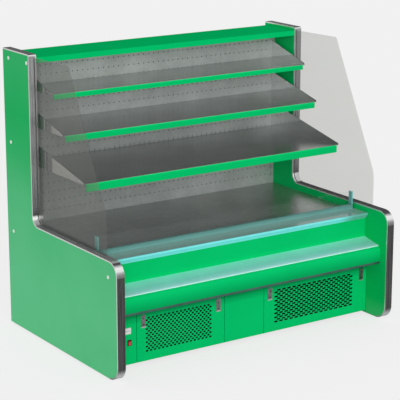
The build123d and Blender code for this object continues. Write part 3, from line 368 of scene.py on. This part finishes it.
def mixed(tree, first, second, blend="MIX", mask=None):
    """Two colours mixed by a mask, or wholly; each is an output or a colour."""
    mix = tree.nodes.new("ShaderNodeMix")
    mix.data_type = "RGBA"
    mix.blend_type = blend
    mix.inputs["Factor"].default_value = 1.0
    if mask is not None:
        tree.links.new(mask, mix.inputs["Factor"])
    for name, colour in (("A", first), ("B", second)):
        socket = next(s for s in mix.inputs if s.name == name and s.type == "RGBA")
        if isinstance(colour, tuple):
            socket.default_value = (*colour, 1.0)
        else:
            tree.links.new(colour, socket)
    return next(s for s in mix.outputs if s.type == "RGBA")


def painted_over(tree, mask, under, over):
    """One colour laid over another by a mask; each is an output or a colour."""
    return mixed(tree, under, over, mask=mask)


def shade(colour, factor):
    """The same colour, lighter or darker."""
    return tuple(min(1.0, channel * factor) for channel in colour)


def drifting(tree, colour, scale, variation):
    """A colour that drifts lighter and darker over the surface."""
    clouds = noise(tree, scale, detail=4.0)
    drift = two_toned(tree, clouds, grey(1 - variation), white, span=(0.3, 0.7))
    if isinstance(colour, tuple):
        colour = shade(colour, 1 + variation / 2)
    return mixed(tree, colour, drift, "MULTIPLY")


def set_colour(tree, shader, colour):
    """Colour of a surface, from an output."""
    tree.links.new(colour, shader.inputs["Base Color"])


def set_roughness(tree, shader, texture, smooth, rough):
    """Roughness of a surface, uneven as a texture is."""
    tree.links.new(spread(tree, texture, smooth, rough), shader.inputs["Roughness"])


def bump(tree, shader, height, strength, depth):
    """Surface relief from a texture, depth in metres, with softened edges."""
    edges = tree.nodes.new("ShaderNodeBevel")
    edges.samples = edge_samples
    edges.inputs["Radius"].default_value = edge_radius
    relief = tree.nodes.new("ShaderNodeBump")
    relief.inputs["Strength"].default_value = strength
    relief.inputs["Distance"].default_value = depth
    tree.links.new(height, relief.inputs["Height"])
    tree.links.new(edges.outputs["Normal"], relief.inputs["Normal"])
    tree.links.new(relief.outputs["Normal"], shader.inputs["Normal"])


def show_mixed(tree, share, first, second):
    """Show one shader and, by a share, another."""
    both = tree.nodes.new("ShaderNodeMixShader")
    tree.links.new(share, both.inputs["Fac"])
    tree.links.new(first, both.inputs[1])
    tree.links.new(second, both.inputs[2])
    tree.links.new(both.outputs["Shader"], tree.nodes["Material Output"].inputs["Surface"])


def paint(name, colour, roughness=0.4, gloss=0.02, heights=None):
    """Powder coat: slow shifts of tone, faint orange peel and uneven gloss."""
    material, tree, shader = new_material(name)
    if heights:
        colour = graded(tree, "Z", [(height, shade(colour, factor)) for height, factor in heights])
    set_colour(tree, shader, drifting(tree, colour, scale=3.5, variation=0.06))
    set_roughness(tree, shader, noise(tree, scale=14.0), roughness - 0.05, roughness + 0.05)
    shader.inputs["Specular IOR Level"].default_value = gloss
    bump(tree, shader, noise(tree, scale=420.0, detail=1.0), strength=0.1, depth=0.0004)
    return material


def painted_reflection_share(tree):
    """Share of the end panels' painted reflection: more of it outside, and towards the floor."""
    outward = product(tree, along(tree, "Normal", "X"), along(tree, "Object", "X"))
    outside = rising(tree, outward, *panel_outside)
    reflection_by_height = graded(tree, "Z", greys(panel_reflection_shares))
    drift = spread(tree, noise(tree, scale=1.6, detail=4.0), low=0.85, high=1.15)
    reflection_share = product(tree, product(tree, outside, reflection_by_height), drift)
    near_floor = spread(tree, along(tree, "Object", "Z"), panel_foot_share, 0.0, *panel_foot_heights)
    return arithmetic(tree, "MAXIMUM", reflection_share, near_floor)


def pane_groove(tree):
    """Mask of the groove in an end panel that holds its pane."""
    from_middle = arithmetic(tree, "ABSOLUTE", along(tree, "Object", "X"))
    across = between(tree, from_middle, *groove_x, groove_side_blur)
    ahead = falling(tree, along(tree, "Object", "Y"), groove_rear, groove_rear + groove_end_blur)
    return product(tree, across, ahead)


def end_laminate(name):
    """Glossy laminate: a painted reflection makes the outer faces paler towards the floor; the pane's
    groove is grey.
    """
    material, tree, shader = new_material(name)
    plain_green = drifting(tree, laminate_green, scale=3.0, variation=0.05)
    with_painted_reflection = painted_over(tree, painted_reflection_share(tree), plain_green, painted_reflection_green)
    set_colour(tree, shader, painted_over(tree, pane_groove(tree), with_painted_reflection, gasket_grey))
    set_roughness(tree, shader, noise(tree, scale=9.0), smooth=0.1, rough=0.2)
    shader.inputs["Specular IOR Level"].default_value = 0.025
    bump(tree, shader, noise(tree, scale=260.0, detail=2.0), strength=0.03, depth=0.0002)
    return material


def plastic(name, colour, roughness=0.3, gloss=0.4):
    """Moulded plastic with a fine grain."""
    material, tree, shader = new_material(name)
    set_colour(tree, shader, drifting(tree, colour, scale=60.0, variation=0.08))
    set_roughness(tree, shader, noise(tree, scale=150.0), roughness - 0.04, roughness + 0.04)
    shader.inputs["Specular IOR Level"].default_value = gloss
    bump(tree, shader, noise(tree, scale=900.0, detail=1.0), strength=0.1, depth=0.0002)
    return material


def metal(name, dark, light, roughness, clouds, grain, grain_stretch=(1.0, 1.0, 1.0), metallic=1.0):
    """Bare metal: blotches between two tones, with a grain; clouds and grain are their scales."""
    material, tree, shader = new_material(name)
    shader.inputs["Metallic"].default_value = metallic
    set_colour(tree, shader, two_toned(tree, noise(tree, clouds, detail=5.0), dark, light))
    streaks = noise(tree, grain, detail=2.0, stretch=grain_stretch)
    set_roughness(tree, shader, streaks, roughness - 0.08, roughness + 0.08)
    bump(tree, shader, streaks, strength=0.12, depth=0.0003)
    return material


def trim_metal(name):
    """Dark dulled metal with a lengthwise grain."""
    return metal(
        name,
        dark=(0.03, 0.085, 0.075),
        light=(0.05, 0.12, 0.105),
        roughness=0.4,
        clouds=12.0,
        grain=60.0,
        grain_stretch=(0.1, 1.0, 1.0),
        metallic=0.4,
    )


def copper(name):
    """Copper pipe, browned in blotches."""
    return metal(
        name,
        dark=(0.5, 0.22, 0.12),
        light=(0.72, 0.36, 0.2),
        roughness=0.3,
        clouds=30.0,
        grain=120.0,
    )


def zinc(name):
    """Zinc plating of small screws."""
    return metal(
        name,
        dark=(0.30, 0.30, 0.31),
        light=(0.46, 0.46, 0.47),
        roughness=0.35,
        clouds=60.0,
        grain=300.0,
        metallic=0.8,
    )


def post_tone(tree, streaks):
    """Tone of the edging up the posts, a painted reflection: painted shade darkens it towards the step,
    and it is painted lighter behind the left pane.
    """
    in_front = two_toned(tree, streaks, *post_streaks, span=streak_span)
    behind = two_toned(tree, streaks, *behind_pane_streaks, span=streak_span)
    behind_pane = between(tree, along(tree, "Object", "X"), -groove_x[0], 0.0, groove_end_blur)
    tone = painted_over(tree, behind_pane, in_front, behind)
    return mixed(tree, tone, graded(tree, "Z", post_shading), "MULTIPLY")


def edging_web(tree, streaks):
    """Tone of the edging between its lips: dark, with painted reflections that make it lighter up the
    posts and along the left step, and a painted highlight on the step's corner.
    """
    height = along(tree, "Object", "Z")
    low_tone = two_toned(tree, streaks, *web_streaks, span=streak_span)
    on_post = product(tree, rising(tree, height, *post_foot_heights), facing(tree, "Y", -1))
    web = painted_over(tree, on_post, low_tone, post_tone(tree, streaks))
    left = falling(tree, along(tree, "Object", "X"), *left_side)
    below_post = falling(tree, height, *step_top_heights)
    left_step = product(tree, left, product(tree, below_post, facing(tree, "Z", 1)))
    web = painted_over(tree, left_step, web, step_reflection_tone)
    step_corner = between(tree, height, *step_corner_heights, step_corner_blur)
    return painted_over(tree, step_corner, web, step_corner_highlight)


def edging(name):
    """Edging strip: streaky dark web, painted reflections up the posts and on the undersides, and painted
    highlights at its bends and on its lips.
    """
    material, tree, shader = new_material(name)
    shader.inputs["Metallic"].default_value = 0.7
    shader.inputs["Specular Tint"].default_value = (*edging_sheen, 1.0)
    streaks = noise(tree, scale=90.0, detail=4.0, stretch=(1.0, 0.04, 0.04), roughness=0.6)
    upward = along(tree, "Normal", "Z")
    bend_highlights = tones(tree, upward, greys(bend_highlight_shares))
    with_painted_light = painted_over(tree, bend_highlights, edging_web(tree, streaks), bend_highlight_tone)
    downward = product(tree, upward, -1.0)
    underside = spread(tree, downward, 0.0, underside_share, *underside_span, soft=True)
    with_painted_light = painted_over(tree, underside, with_painted_light, underside_reflection_tone)
    lip_highlight = graded(tree, "Z", greys(lip_highlight_levels))
    set_colour(tree, shader, painted_over(tree, facing(tree, "X"), with_painted_light, lip_highlight))
    set_roughness(tree, shader, streaks, smooth=0.22, rough=0.36)
    bump(tree, shader, streaks, strength=0.06, depth=0.0003)
    return material


def stainless(name, smooth, rough):
    """Polished sheet with slow clouds of tone and a fine lengthwise grain."""
    material, tree, shader = new_material(name)
    shader.inputs["Metallic"].default_value = 0.8
    clouds = noise(tree, scale=4.0, detail=5.0)
    set_colour(tree, shader, two_toned(tree, clouds, dark=(0.37, 0.38, 0.37), light=(0.45, 0.46, 0.45)))
    streaks = noise(tree, scale=700.0, detail=2.0, stretch=(0.03, 1.0, 1.0))
    set_roughness(tree, shader, streaks, smooth, rough)
    bump(tree, shader, streaks, strength=0.02, depth=0.0002)
    return material


def cheek_steel(name):
    """Mirror-polished plate with faint lengthwise rolling marks, darkened along its cut edges."""
    material, tree, shader = new_material(name)
    shader.inputs["Metallic"].default_value = 0.95
    streaks = noise(tree, scale=300.0, detail=3.0, stretch=(1.0, 0.02, 1.0))
    clear = two_toned(tree, streaks, dark=(0.58, 0.59, 0.58), light=(0.66, 0.67, 0.66))
    cut = two_toned(tree, streaks, dark=(0.10, 0.10, 0.10), light=(0.16, 0.16, 0.16))
    set_colour(tree, shader, painted_over(tree, facing(tree, "X"), cut, clear))
    set_roughness(tree, shader, streaks, smooth=0.07, rough=0.13)
    bump(tree, shader, streaks, strength=0.02, depth=0.0001)
    return material


def galvanised(name):
    """Galvanised sheet: crystal spangle over slow blotches."""
    material, tree, shader = new_material(name)
    shader.inputs["Metallic"].default_value = 0.35
    coords = tree.nodes.new("ShaderNodeTexCoord")
    cells = tree.nodes.new("ShaderNodeTexVoronoi")
    cells.inputs["Scale"].default_value = 70.0
    tree.links.new(coords.outputs["Object"], cells.inputs["Vector"])
    brightness = tree.nodes.new("ShaderNodeRGBToBW")
    tree.links.new(cells.outputs["Color"], brightness.inputs["Color"])
    crystals = brightness.outputs["Val"]
    spangle = levels(tree, crystals, low=0.0, high=0.35)
    blotch = spread(tree, noise(tree, scale=5.0, detail=4.0), low=0.0, high=0.65)
    both = arithmetic(tree, "ADD", spangle, blotch)
    sheet = two_toned(tree, both, (0.33, 0.355, 0.345), (0.46, 0.495, 0.48), span=(0.15, 0.85))
    set_colour(tree, shader, sheet)
    tree.links.new(levels(tree, crystals, low=0.37, high=0.55), shader.inputs["Roughness"])
    bump(tree, shader, crystals, strength=0.05, depth=0.0002)
    return material


def glass(name, edge_tint, axis):
    """Clear sheet across an axis: seen at a slant its tint deepens and its skin mirrors more."""
    material, tree, shader = new_material(name)
    shader.inputs["Base Color"].default_value = (*glass_skin, 1.0)
    shader.inputs["Metallic"].default_value = 0.9
    set_roughness(tree, shader, noise(tree, scale=6.0), smooth=0.02, rough=0.06)
    view = tree.nodes.new("ShaderNodeLayerWeight")
    slant = view.outputs["Facing"]
    clear = tree.nodes.new("ShaderNodeBsdfTransparent")
    tree.links.new(tones(tree, slant, ((0.0, white), (1.0, edge_tint))), clear.inputs["Color"])
    glance = arithmetic(tree, "POWER", slant, glass_glance_power)
    dulled_edges = levels(tree, facing(tree, axis), cut_edge_gloss, 1.0)
    skin_share = levels(tree, product(tree, glance, dulled_edges), glass_head_on, 1.0)
    show_mixed(tree, skin_share, clear.outputs["BSDF"], shader.outputs["BSDF"])
    return material


def acrylic(name, axis, stops, end_shade=None):
    """Tinted acrylic whose tone changes along an axis, and may be dimmed along X by painted shade, under
    a polished skin.
    """
    material, tree, shader = new_material(name)
    base = drifting(tree, graded(tree, axis, stops), scale=9.0, variation=0.08)
    if end_shade:
        base = mixed(tree, base, graded(tree, "X", end_shade), "MULTIPLY")
    set_colour(tree, shader, base)
    set_roughness(tree, shader, noise(tree, scale=30.0), smooth=0.098, rough=0.182)
    shader.inputs["Specular IOR Level"].default_value = 0.3
    bump(tree, shader, noise(tree, scale=120.0, detail=1.0), strength=0.03, depth=0.0002)
    return material


def strap_steel(name):
    """Zinc-plated straps: dark screw heads, a painted highlight along the foot, and dark green over the
    upper end, the door's green in painted shade under the trim.
    """
    material, tree, shader = new_material(name)
    shader.inputs["Metallic"].default_value = 0.7
    clouds = noise(tree, scale=60.0, detail=5.0)
    plate = two_toned(tree, clouds, dark=(0.11, 0.105, 0.11), light=(0.22, 0.212, 0.22))
    height = along(tree, "Object", "Z")
    # Painted highlight along the strap's foot.
    near_foot = falling(tree, height, *(strap_foot + rise for rise in foot_highlight_rises))
    with_painted_light = painted_over(tree, near_foot, plate, foot_highlight_tone)
    # Green in painted shade over the strap's upper end.
    green_top_height = strap_foot + green_top_rise
    green_top = rising(tree, height, green_top_height - green_top_blur, green_top_height + green_top_blur)
    with_painted_light = painted_over(tree, green_top, with_painted_light, green_in_painted_shade)
    depth = along(tree, "Object", "Y")
    proud = falling(tree, depth, strap_screw_face - strap_screw_blur, strap_screw_face)
    below_knuckle = falling(tree, height, knuckle_foot - knuckle_blur, knuckle_foot)
    screws = product(tree, proud, below_knuckle)
    set_colour(tree, shader, painted_over(tree, screws, with_painted_light, strap_screw_tone))
    set_roughness(tree, shader, clouds, smooth=0.28, rough=0.45)
    bump(tree, shader, clouds, strength=0.1, depth=0.0003)
    return material


def foam_skin(name):
    """Pale skin of the insulation, painted dark as shade on its faces towards the air duct."""
    material, tree, shader = new_material(name)
    pale = drifting(tree, (0.55, 0.55, 0.53), scale=30.0, variation=0.1)
    duct_shade = drifting(tree, (0.035, 0.036, 0.038), scale=30.0, variation=0.3)
    set_colour(tree, shader, painted_over(tree, facing(tree, "Y", -1), pale, duct_shade))
    set_roughness(tree, shader, noise(tree, scale=80.0), smooth=0.55, rough=0.75)
    bump(tree, shader, noise(tree, scale=300.0), strength=0.2, depth=0.0005)
    return material


def fins(name, dark, light):
    """Metal fins: fine upright lines of light and dark."""
    material, tree, shader = new_material(name)
    shader.inputs["Metallic"].default_value = 0.8
    coords = tree.nodes.new("ShaderNodeTexCoord")
    wave = tree.nodes.new("ShaderNodeTexWave")
    wave.bands_direction = "X"
    wave.inputs["Scale"].default_value = 90.0
    wave.inputs["Distortion"].default_value = 0.4
    tree.links.new(coords.outputs["Object"], wave.inputs["Vector"])
    lines = wave.outputs["Fac"]
    set_colour(tree, shader, two_toned(tree, lines, dark, light, span=(0.2, 0.8)))
    set_roughness(tree, shader, noise(tree, scale=40.0), smooth=0.3, rough=0.45)
    bump(tree, shader, lines, strength=0.4, depth=0.0008)
    return material


def rail_acrylic(name):
    """Bright acrylic of the ledge's front rail, dimmed by painted shade towards its right end."""
    end_shade = [(rail_high.x - distance, tint) for distance, tint in rail_end_shade]
    return acrylic(name, "Z", placed(rail_low.z, rail_high.z, rail_tones), end_shade)


def plate_acrylic(name):
    """Pale plate on the bumper, with a painted highlight along its front edge and painted light towards
    its rear.
    """
    return acrylic(name, "Y", placed(plate_low.y, plate_high.y, plate_tones))


def riser_acrylic(name):
    """Strip that the riser stands in, with a dark line above its foot."""
    stops = [(riser_low.z, riser_foot_tone)]
    stops += [(riser_low.z + rise, tone) for rise, tone in riser_tones]
    stops += [(riser_high.z, riser_top_tone)]
    return acrylic(name, "Z", stops)


def slot_finishes():
    """Material of each of the record's slots."""
    return {
        "green_panel": end_laminate("green_panel"),
        "green_paint": paint("green_paint", paint_green),
        "edging_steel": edging("edging_steel"),
        "galvanised_steel": galvanised("galvanised_steel"),
        "stainless_steel": stainless("stainless_steel", smooth=0.16, rough=0.24),
        "hinge_steel": strap_steel("hinge_steel"),
        "clear_glass": glass("clear_glass", edge_tint=(0.60, 0.60, 0.57), axis="X"),
        "ledge_glass": plastic("ledge_glass", (0.26, 0.45, 0.41), roughness=0.06),
        "clear_rail": rail_acrylic("clear_rail"),
        "pale_plate": plate_acrylic("pale_plate"),
        "dark_trim": trim_metal("dark_trim"),
        "white_plastic": plastic("white_plastic", (0.78, 0.78, 0.77), roughness=0.35),
        "display_window": plastic("display_window", (0.42, 0.48, 0.44), roughness=0.15),
        "grey_key": plastic("grey_key", (0.6, 0.61, 0.62), roughness=0.45),
        "black_plastic": plastic("black_plastic", (0.025, 0.025, 0.027), roughness=0.45),
        "red_plastic": plastic("red_plastic", (0.55, 0.03, 0.015)),
        "insulation": foam_skin("insulation"),
        "frame_paint": paint("frame_paint", (0.05, 0.05, 0.055), roughness=0.45, gloss=0.3),
        "black_paint": paint("black_paint", (0.015, 0.015, 0.016), gloss=0.4),
        "fin_aluminium": fins("fin_aluminium", dark=(0.16, 0.16, 0.17), light=(0.66, 0.67, 0.68)),
        "copper": copper("copper"),
    }


def front_finishes():
    """Paints of the front's pieces, which grow lighter or darker with the height, as painted light and
    shade.
    """
    # Painted shade that darkens the bumper towards its foot.
    bumper_shading_heights = list(zip((bumper_low.z, bumper_high.z), bumper_shading_factors))
    # Painted bounce light from the plate that lightens the fascia at its foot.
    fascia_bounce_heights = [(plate_high.z + rise, factor) for rise, factor in fascia_bounce_rises]
    # Painted shadow under the bumper's trim, darkest right under it.
    trim_shadow_heights = [(trim_foot - drop, factor) for drop, factor in trim_shadow_drops]
    lower_paint = paint("lower_paint", paint_green, heights=trim_shadow_heights)
    found = {
        "bumper_shell": paint("bumper_paint", paint_green, heights=bumper_shading_heights),
        "fascia_panel": paint("fascia_paint", paint_green, heights=fascia_bounce_heights),
    }
    for node in ("control_panel", "centre_panel", "left_service_door", "right_service_door"):
        found[node] = lower_paint
    for node in ("upper_shelf_strip", "middle_shelf_strip", "lower_shelf_strip"):
        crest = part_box(node)[1].z
        # Painted highlight along each strip's top edge.
        heights = [(crest - drop, factor) for drop, factor in strip_highlight_drops]
        found[node] = paint(node + "_paint", strip_green, roughness=0.45, gloss=0.03, heights=heights)
    return found


def own_finishes():
    """Materials of the pieces that differ from the rest of their slot."""
    return {
        "riser_glass": glass("riser_glass", edge_tint=(0.88, 0.93, 0.92), axis="Y"),
        "end_screw_caps": plastic("cap_plastic", (0.95, 0.95, 0.94), roughness=0.35),
        "riser_channel": riser_acrylic("riser_channel"),
        "top_cap": paint("cap_paint", shade(paint_green, cap_factor), roughness=0.5, gloss=0.0),
        "display_deck": stainless("deck_steel", smooth=0.25, rough=0.35),
        "shelf_brackets": cheek_steel("cheek_steel"),
        "condenser_coil": fins("condenser_fins", dark=(0.008, 0.008, 0.009), light=(0.035, 0.036, 0.037)),
        **front_finishes(),
    }


def assign_finishes(finishes, own):
    """Give each piece of the case its own material, or else its slot's."""
    for subpart in frame["record"]["subparts"]:
        node = subpart["node"]
        mesh = nodes[node].data
        mesh.materials.clear()
        mesh.materials.append(own.get(node) or finishes[subpart["material_slot"]])


def add_piece(name, shape, material, body):
    """Turn a finished mesh into a named piece that rides on a body of the case."""
    bmesh.ops.recalc_face_normals(shape, faces=shape.faces)
    mesh = bpy.data.meshes.new(name)
    shape.to_mesh(mesh)
    shape.free()
    mesh.materials.append(material)
    piece = bpy.data.objects.new(name, mesh)
    bpy.context.collection.objects.link(piece)
    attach(piece, body)


def join_loops(shape, first, second):
    """Band of faces between two closed loops of as many points."""
    for i in range(len(first)):
        j = (i + 1) % len(first)
        shape.faces.new((first[i], first[j], second[j], second[i]))


def raise_outline(shape, points, place):
    """Raise a flat outline of (x, z) points into a thin plate; place puts it on its surface."""
    sunk = [shape.verts.new(place @ Vector((x, mark_sink, z))) for x, z in points]
    proud = [shape.verts.new(place @ Vector((x, -mark_height, z))) for x, z in points]
    shape.faces.new(sunk)
    shape.faces.new(proud)
    join_loops(shape, sunk, proud)


def full_turn():
    """Angles of the points of a round loop."""
    return [2 * math.pi * i / round_sides for i in range(round_sides)]


def raise_ring(shape, radius, stroke, place):
    """Raise a flat ring, whose middle is at the origin of place."""
    rims = []
    for size in (radius, radius - stroke):
        for depth in (mark_sink, -mark_height):
            points = [Vector((size * math.cos(a), depth, size * math.sin(a))) for a in full_turn()]
            rims.append([shape.verts.new(place @ point) for point in points])
    outer_low, outer_high, inner_low, inner_high = rims
    join_loops(shape, outer_low, outer_high)
    join_loops(shape, outer_high, inner_high)
    join_loops(shape, inner_high, inner_low)
    join_loops(shape, inner_low, outer_low)


def bar(middle, size):
    """Outline of an upright or lying bar, as (x, z) points."""
    x, z = middle
    half_width = size[0] / 2
    half_height = size[1] / 2
    return [
        (x - half_width, z - half_height),
        (x + half_width, z - half_height),
        (x + half_width, z + half_height),
        (x - half_width, z + half_height),
    ]


def digit_bars(lit, x):
    """Bars of a seven-segment digit centred at x, lit by the letters a to g."""
    width, height = digit_size
    lying = (width - digit_stroke, digit_bar)
    standing = (digit_bar, height / 2 - digit_stroke)
    side = (width - digit_stroke) / 2
    quarter = height / 4
    top = (height - digit_stroke) / 2
    segments = {
        "a": bar((x, top), lying),
        "b": bar((x + side, quarter), standing),
        "c": bar((x + side, -quarter), standing),
        "d": bar((x, -top), lying),
        "e": bar((x - side, -quarter), standing),
        "f": bar((x - side, quarter), standing),
        "g": bar((x, 0.0), lying),
    }
    return [segments[letter] for letter in lit]


def face_place(node):
    """Placement on the middle of a node's front face, with Y into the case."""
    low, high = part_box(node)
    return Matrix.Translation(((low.x + high.x) / 2, low.y, (low.z + high.z) / 2))


def display_digits(ink):
    """Two digits with a point between them, on the display window."""
    shape = bmesh.new()
    outlines = digit_bars(first_digit, -digit_pitch / 2) + digit_bars(second_digit, digit_pitch / 2)
    outlines += [bar((0.0, (digit_stroke - digit_size[1]) / 2), (digit_stroke, digit_stroke))]
    for outline in outlines:
        raise_outline(shape, outline, face_place("thermostat_window"))
    add_piece("display_digits", shape, ink, "case")


def key_marks(ink):
    """An arrow on the up and down keys, and a ring on the set key."""
    half = key_mark_size / 2
    for key, way in (("up_key", 1), ("down_key", -1)):
        shape = bmesh.new()
        arrow = [(-half, -half * way), (half, -half * way), (0.0, half * way)]
        raise_outline(shape, arrow, face_place("thermostat_" + key))
        add_piece(key + "_arrow", shape, ink, key)
    shape = bmesh.new()
    raise_ring(shape, half, key_mark_stroke, face_place("thermostat_set_key"))
    add_piece("set_key_ring", shape, ink, "set_key")


def rocker_facets():
    """Middles and outward directions of the rocker's two front facets, the upper one first."""
    found = {}
    for face in nodes["switch_rocker"].data.polygons:
        if face.normal.y < facet_forward and abs(face.normal.x) < facet_sideways:
            found.setdefault(round(face.normal.z, 2), []).append(face)
    by_size = sorted(found.values(), key=lambda faces: -sum(face.area for face in faces))
    facets = []
    for faces in by_size[:2]:
        area = sum(face.area for face in faces)
        middle = sum((face.center * face.area for face in faces), Vector()) / area
        facets.append((middle, faces[0].normal.copy()))
    return sorted(facets, key=lambda facet: -facet[0].z)


def rocker_marks(ink):
    """Bar on the rocker's upper facet and ring on its lower one."""
    places = []
    for middle, outward in rocker_facets():
        lean = math.asin(max(-1.0, min(1.0, outward.z)))
        places.append(Matrix.Translation(middle) @ Matrix.Rotation(-lean, 4, "X"))
    shape = bmesh.new()
    raise_outline(shape, bar((0.0, 0.0), (rocker_mark_stroke, rocker_mark_size)), places[0])
    raise_ring(shape, rocker_mark_size / 2, rocker_mark_stroke, places[1])
    add_piece("rocker_marks", shape, ink, "rocker")


def screw_head(shape, x, z, y):
    """Domed screw head with a six-sided socket, standing on a rear face at y."""
    rings = [(cover_screw_radius, -mark_sink, round_sides)]
    for width, rise in cover_screw_dome:
        rings.append((cover_screw_radius * width, cover_screw_height * rise, round_sides))
    for rise in (cover_screw_height, cover_screw_height - socket_depth):
        rings.append((socket_radius, rise, socket_sides))
    loops = []
    for radius, rise, sides in rings:
        loop = []
        for turn in full_turn():
            flat = turn % (2 * math.pi / sides) - math.pi / sides
            reach = radius * math.cos(math.pi / sides) / math.cos(flat)
            point = (x + reach * math.cos(turn), y + rise, z + reach * math.sin(turn))
            loop.append(shape.verts.new(point))
        loops.append(loop)
    for first, second in zip(loops, loops[1:]):
        join_loops(shape, first, second)
    shape.faces.new(loops[0])
    shape.faces.new(loops[-1])


def even_places(low, high, pitch):
    """Evenly spaced places from low to high, about a pitch apart."""
    count = max(1, round((high - low) / pitch))
    return [low + (high - low) * i / count for i in range(count + 1)]


def rear_cover_screws():
    """Zinc-plated screws round the edge of the rear cover."""
    low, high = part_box("rear_cover_sheet")
    xs = even_places(low.x + cover_screw_inset, high.x - cover_screw_inset, cover_screw_pitch)
    zs = even_places(low.z + cover_screw_inset, high.z - cover_screw_inset, cover_screw_pitch)
    border = [(x, z) for x in xs for z in (zs[0], zs[-1])]
    border += [(x, z) for x in (xs[0], xs[-1]) for z in zs[1:-1]]
    shape = bmesh.new()
    for x, z in border:
        screw_head(shape, x, z, high.y)
    add_piece("rear_cover_screws", shape, zinc("screw_zinc"), "case")


def under_case(tree):
    """Mask of the floor deep under the case, where no light falls."""
    low, high = cad_box
    x = along(tree, "Object", "X")
    y = along(tree, "Object", "Y")
    side = between(tree, x, low[0] + shade_inset, high[0] - shade_inset, shade_blur)
    depth = between(tree, y, low[1] + shade_front, high[1] - shade_inset, shade_blur)
    return product(tree, side, depth)


def seen_directly(tree):
    """Mask of the rays that show the surroundings: to the camera, in gloss and through glass."""
    path = tree.nodes.new("ShaderNodeLightPath").outputs
    shiny = arithmetic(tree, "MAXIMUM", path["Is Glossy Ray"], path["Is Transmission Ray"])
    return arithmetic(tree, "MAXIMUM", shiny, path["Is Camera Ray"])


def floor_finish(name):
    """Pale matt floor; where it is seen, most of its tone is a glow, so that its shadow is faint."""
    material, tree, shader = new_material(name)
    shader.inputs["Base Color"].default_value = (*grey(floor_albedo), 1.0)
    shader.inputs["Roughness"].default_value = 1.0
    shader.inputs["Specular IOR Level"].default_value = 0.0
    shown = tree.nodes.new("ShaderNodeBsdfDiffuse")
    shown.inputs["Color"].default_value = (*grey(floor_shadow_share), 1.0)
    glow = tree.nodes.new("ShaderNodeEmission")
    glow_level = background_level - floor_shadow_share * floor_light
    tree.links.new(levels(tree, under_case(tree), glow_level, 0.0), glow.inputs["Strength"])
    pale = tree.nodes.new("ShaderNodeAddShader")
    tree.links.new(shown.outputs["BSDF"], pale.inputs[0])
    tree.links.new(glow.outputs["Emission"], pale.inputs[1])
    show_mixed(tree, seen_directly(tree), shader.outputs["BSDF"], pale.outputs["Shader"])
    return material


def studio_floor():
    """Wide pale floor that keeps the case's soft shadow."""
    half = floor_half_size
    mesh = bpy.data.meshes.new("floor")
    corners = [(-half, -half, 0), (half, -half, 0), (half, half, 0), (-half, half, 0)]
    mesh.from_pydata(corners, [], [(0, 1, 2, 3)])
    mesh.materials.append(floor_finish("floor_pale"))
    floor = bpy.data.objects.new("floor", mesh)
    bpy.context.collection.objects.link(floor)


def studio_light():
    """Even sky with one wide soft key from the front left."""
    world = bpy.data.worlds.new("studio")
    world.use_nodes = True
    bpy.context.scene.world = world
    tree = world.node_tree
    sky = tree.nodes["Background"]
    sky.inputs["Color"].default_value = (*white, 1.0)
    strength = levels(tree, seen_directly(tree), sky_strength, background_level)
    tree.links.new(strength, sky.inputs["Strength"])
    lamp = bpy.data.lights.new("key", "SUN")
    lamp.energy = key_strength
    lamp.angle = math.radians(key_softness)
    key = bpy.data.objects.new("key", lamp)
    key.rotation_euler = Vector(key_from).to_track_quat("Z", "Y").to_euler()
    bpy.context.collection.objects.link(key)


def photo_camera():
    """Camera at the photograph's place and angle."""
    azimuth = math.radians(camera_azimuth)
    elevation = math.radians(camera_elevation)
    level = math.cos(elevation)
    forward = Vector((math.sin(azimuth) * level, math.cos(azimuth) * level, -math.sin(elevation)))
    data = bpy.data.cameras.new("camera")
    data.sensor_width = camera_sensor
    data.lens = camera_lens
    data.clip_end = camera_reach
    camera = bpy.data.objects.new("camera", data)
    camera.location = camera_place
    camera.rotation_euler = forward.to_track_quat("-Z", "Y").to_euler()
    bpy.context.collection.objects.link(camera)
    bpy.context.scene.camera = camera


finishes = slot_finishes()
assign_finishes(finishes, own_finishes())
display_digits(finishes["black_plastic"])
key_marks(finishes["black_plastic"])
rocker_marks(finishes["white_plastic"])
rear_cover_screws()
studio_floor()
studio_light()
photo_camera()
bpy.context.scene.view_settings.view_transform = "Standard"
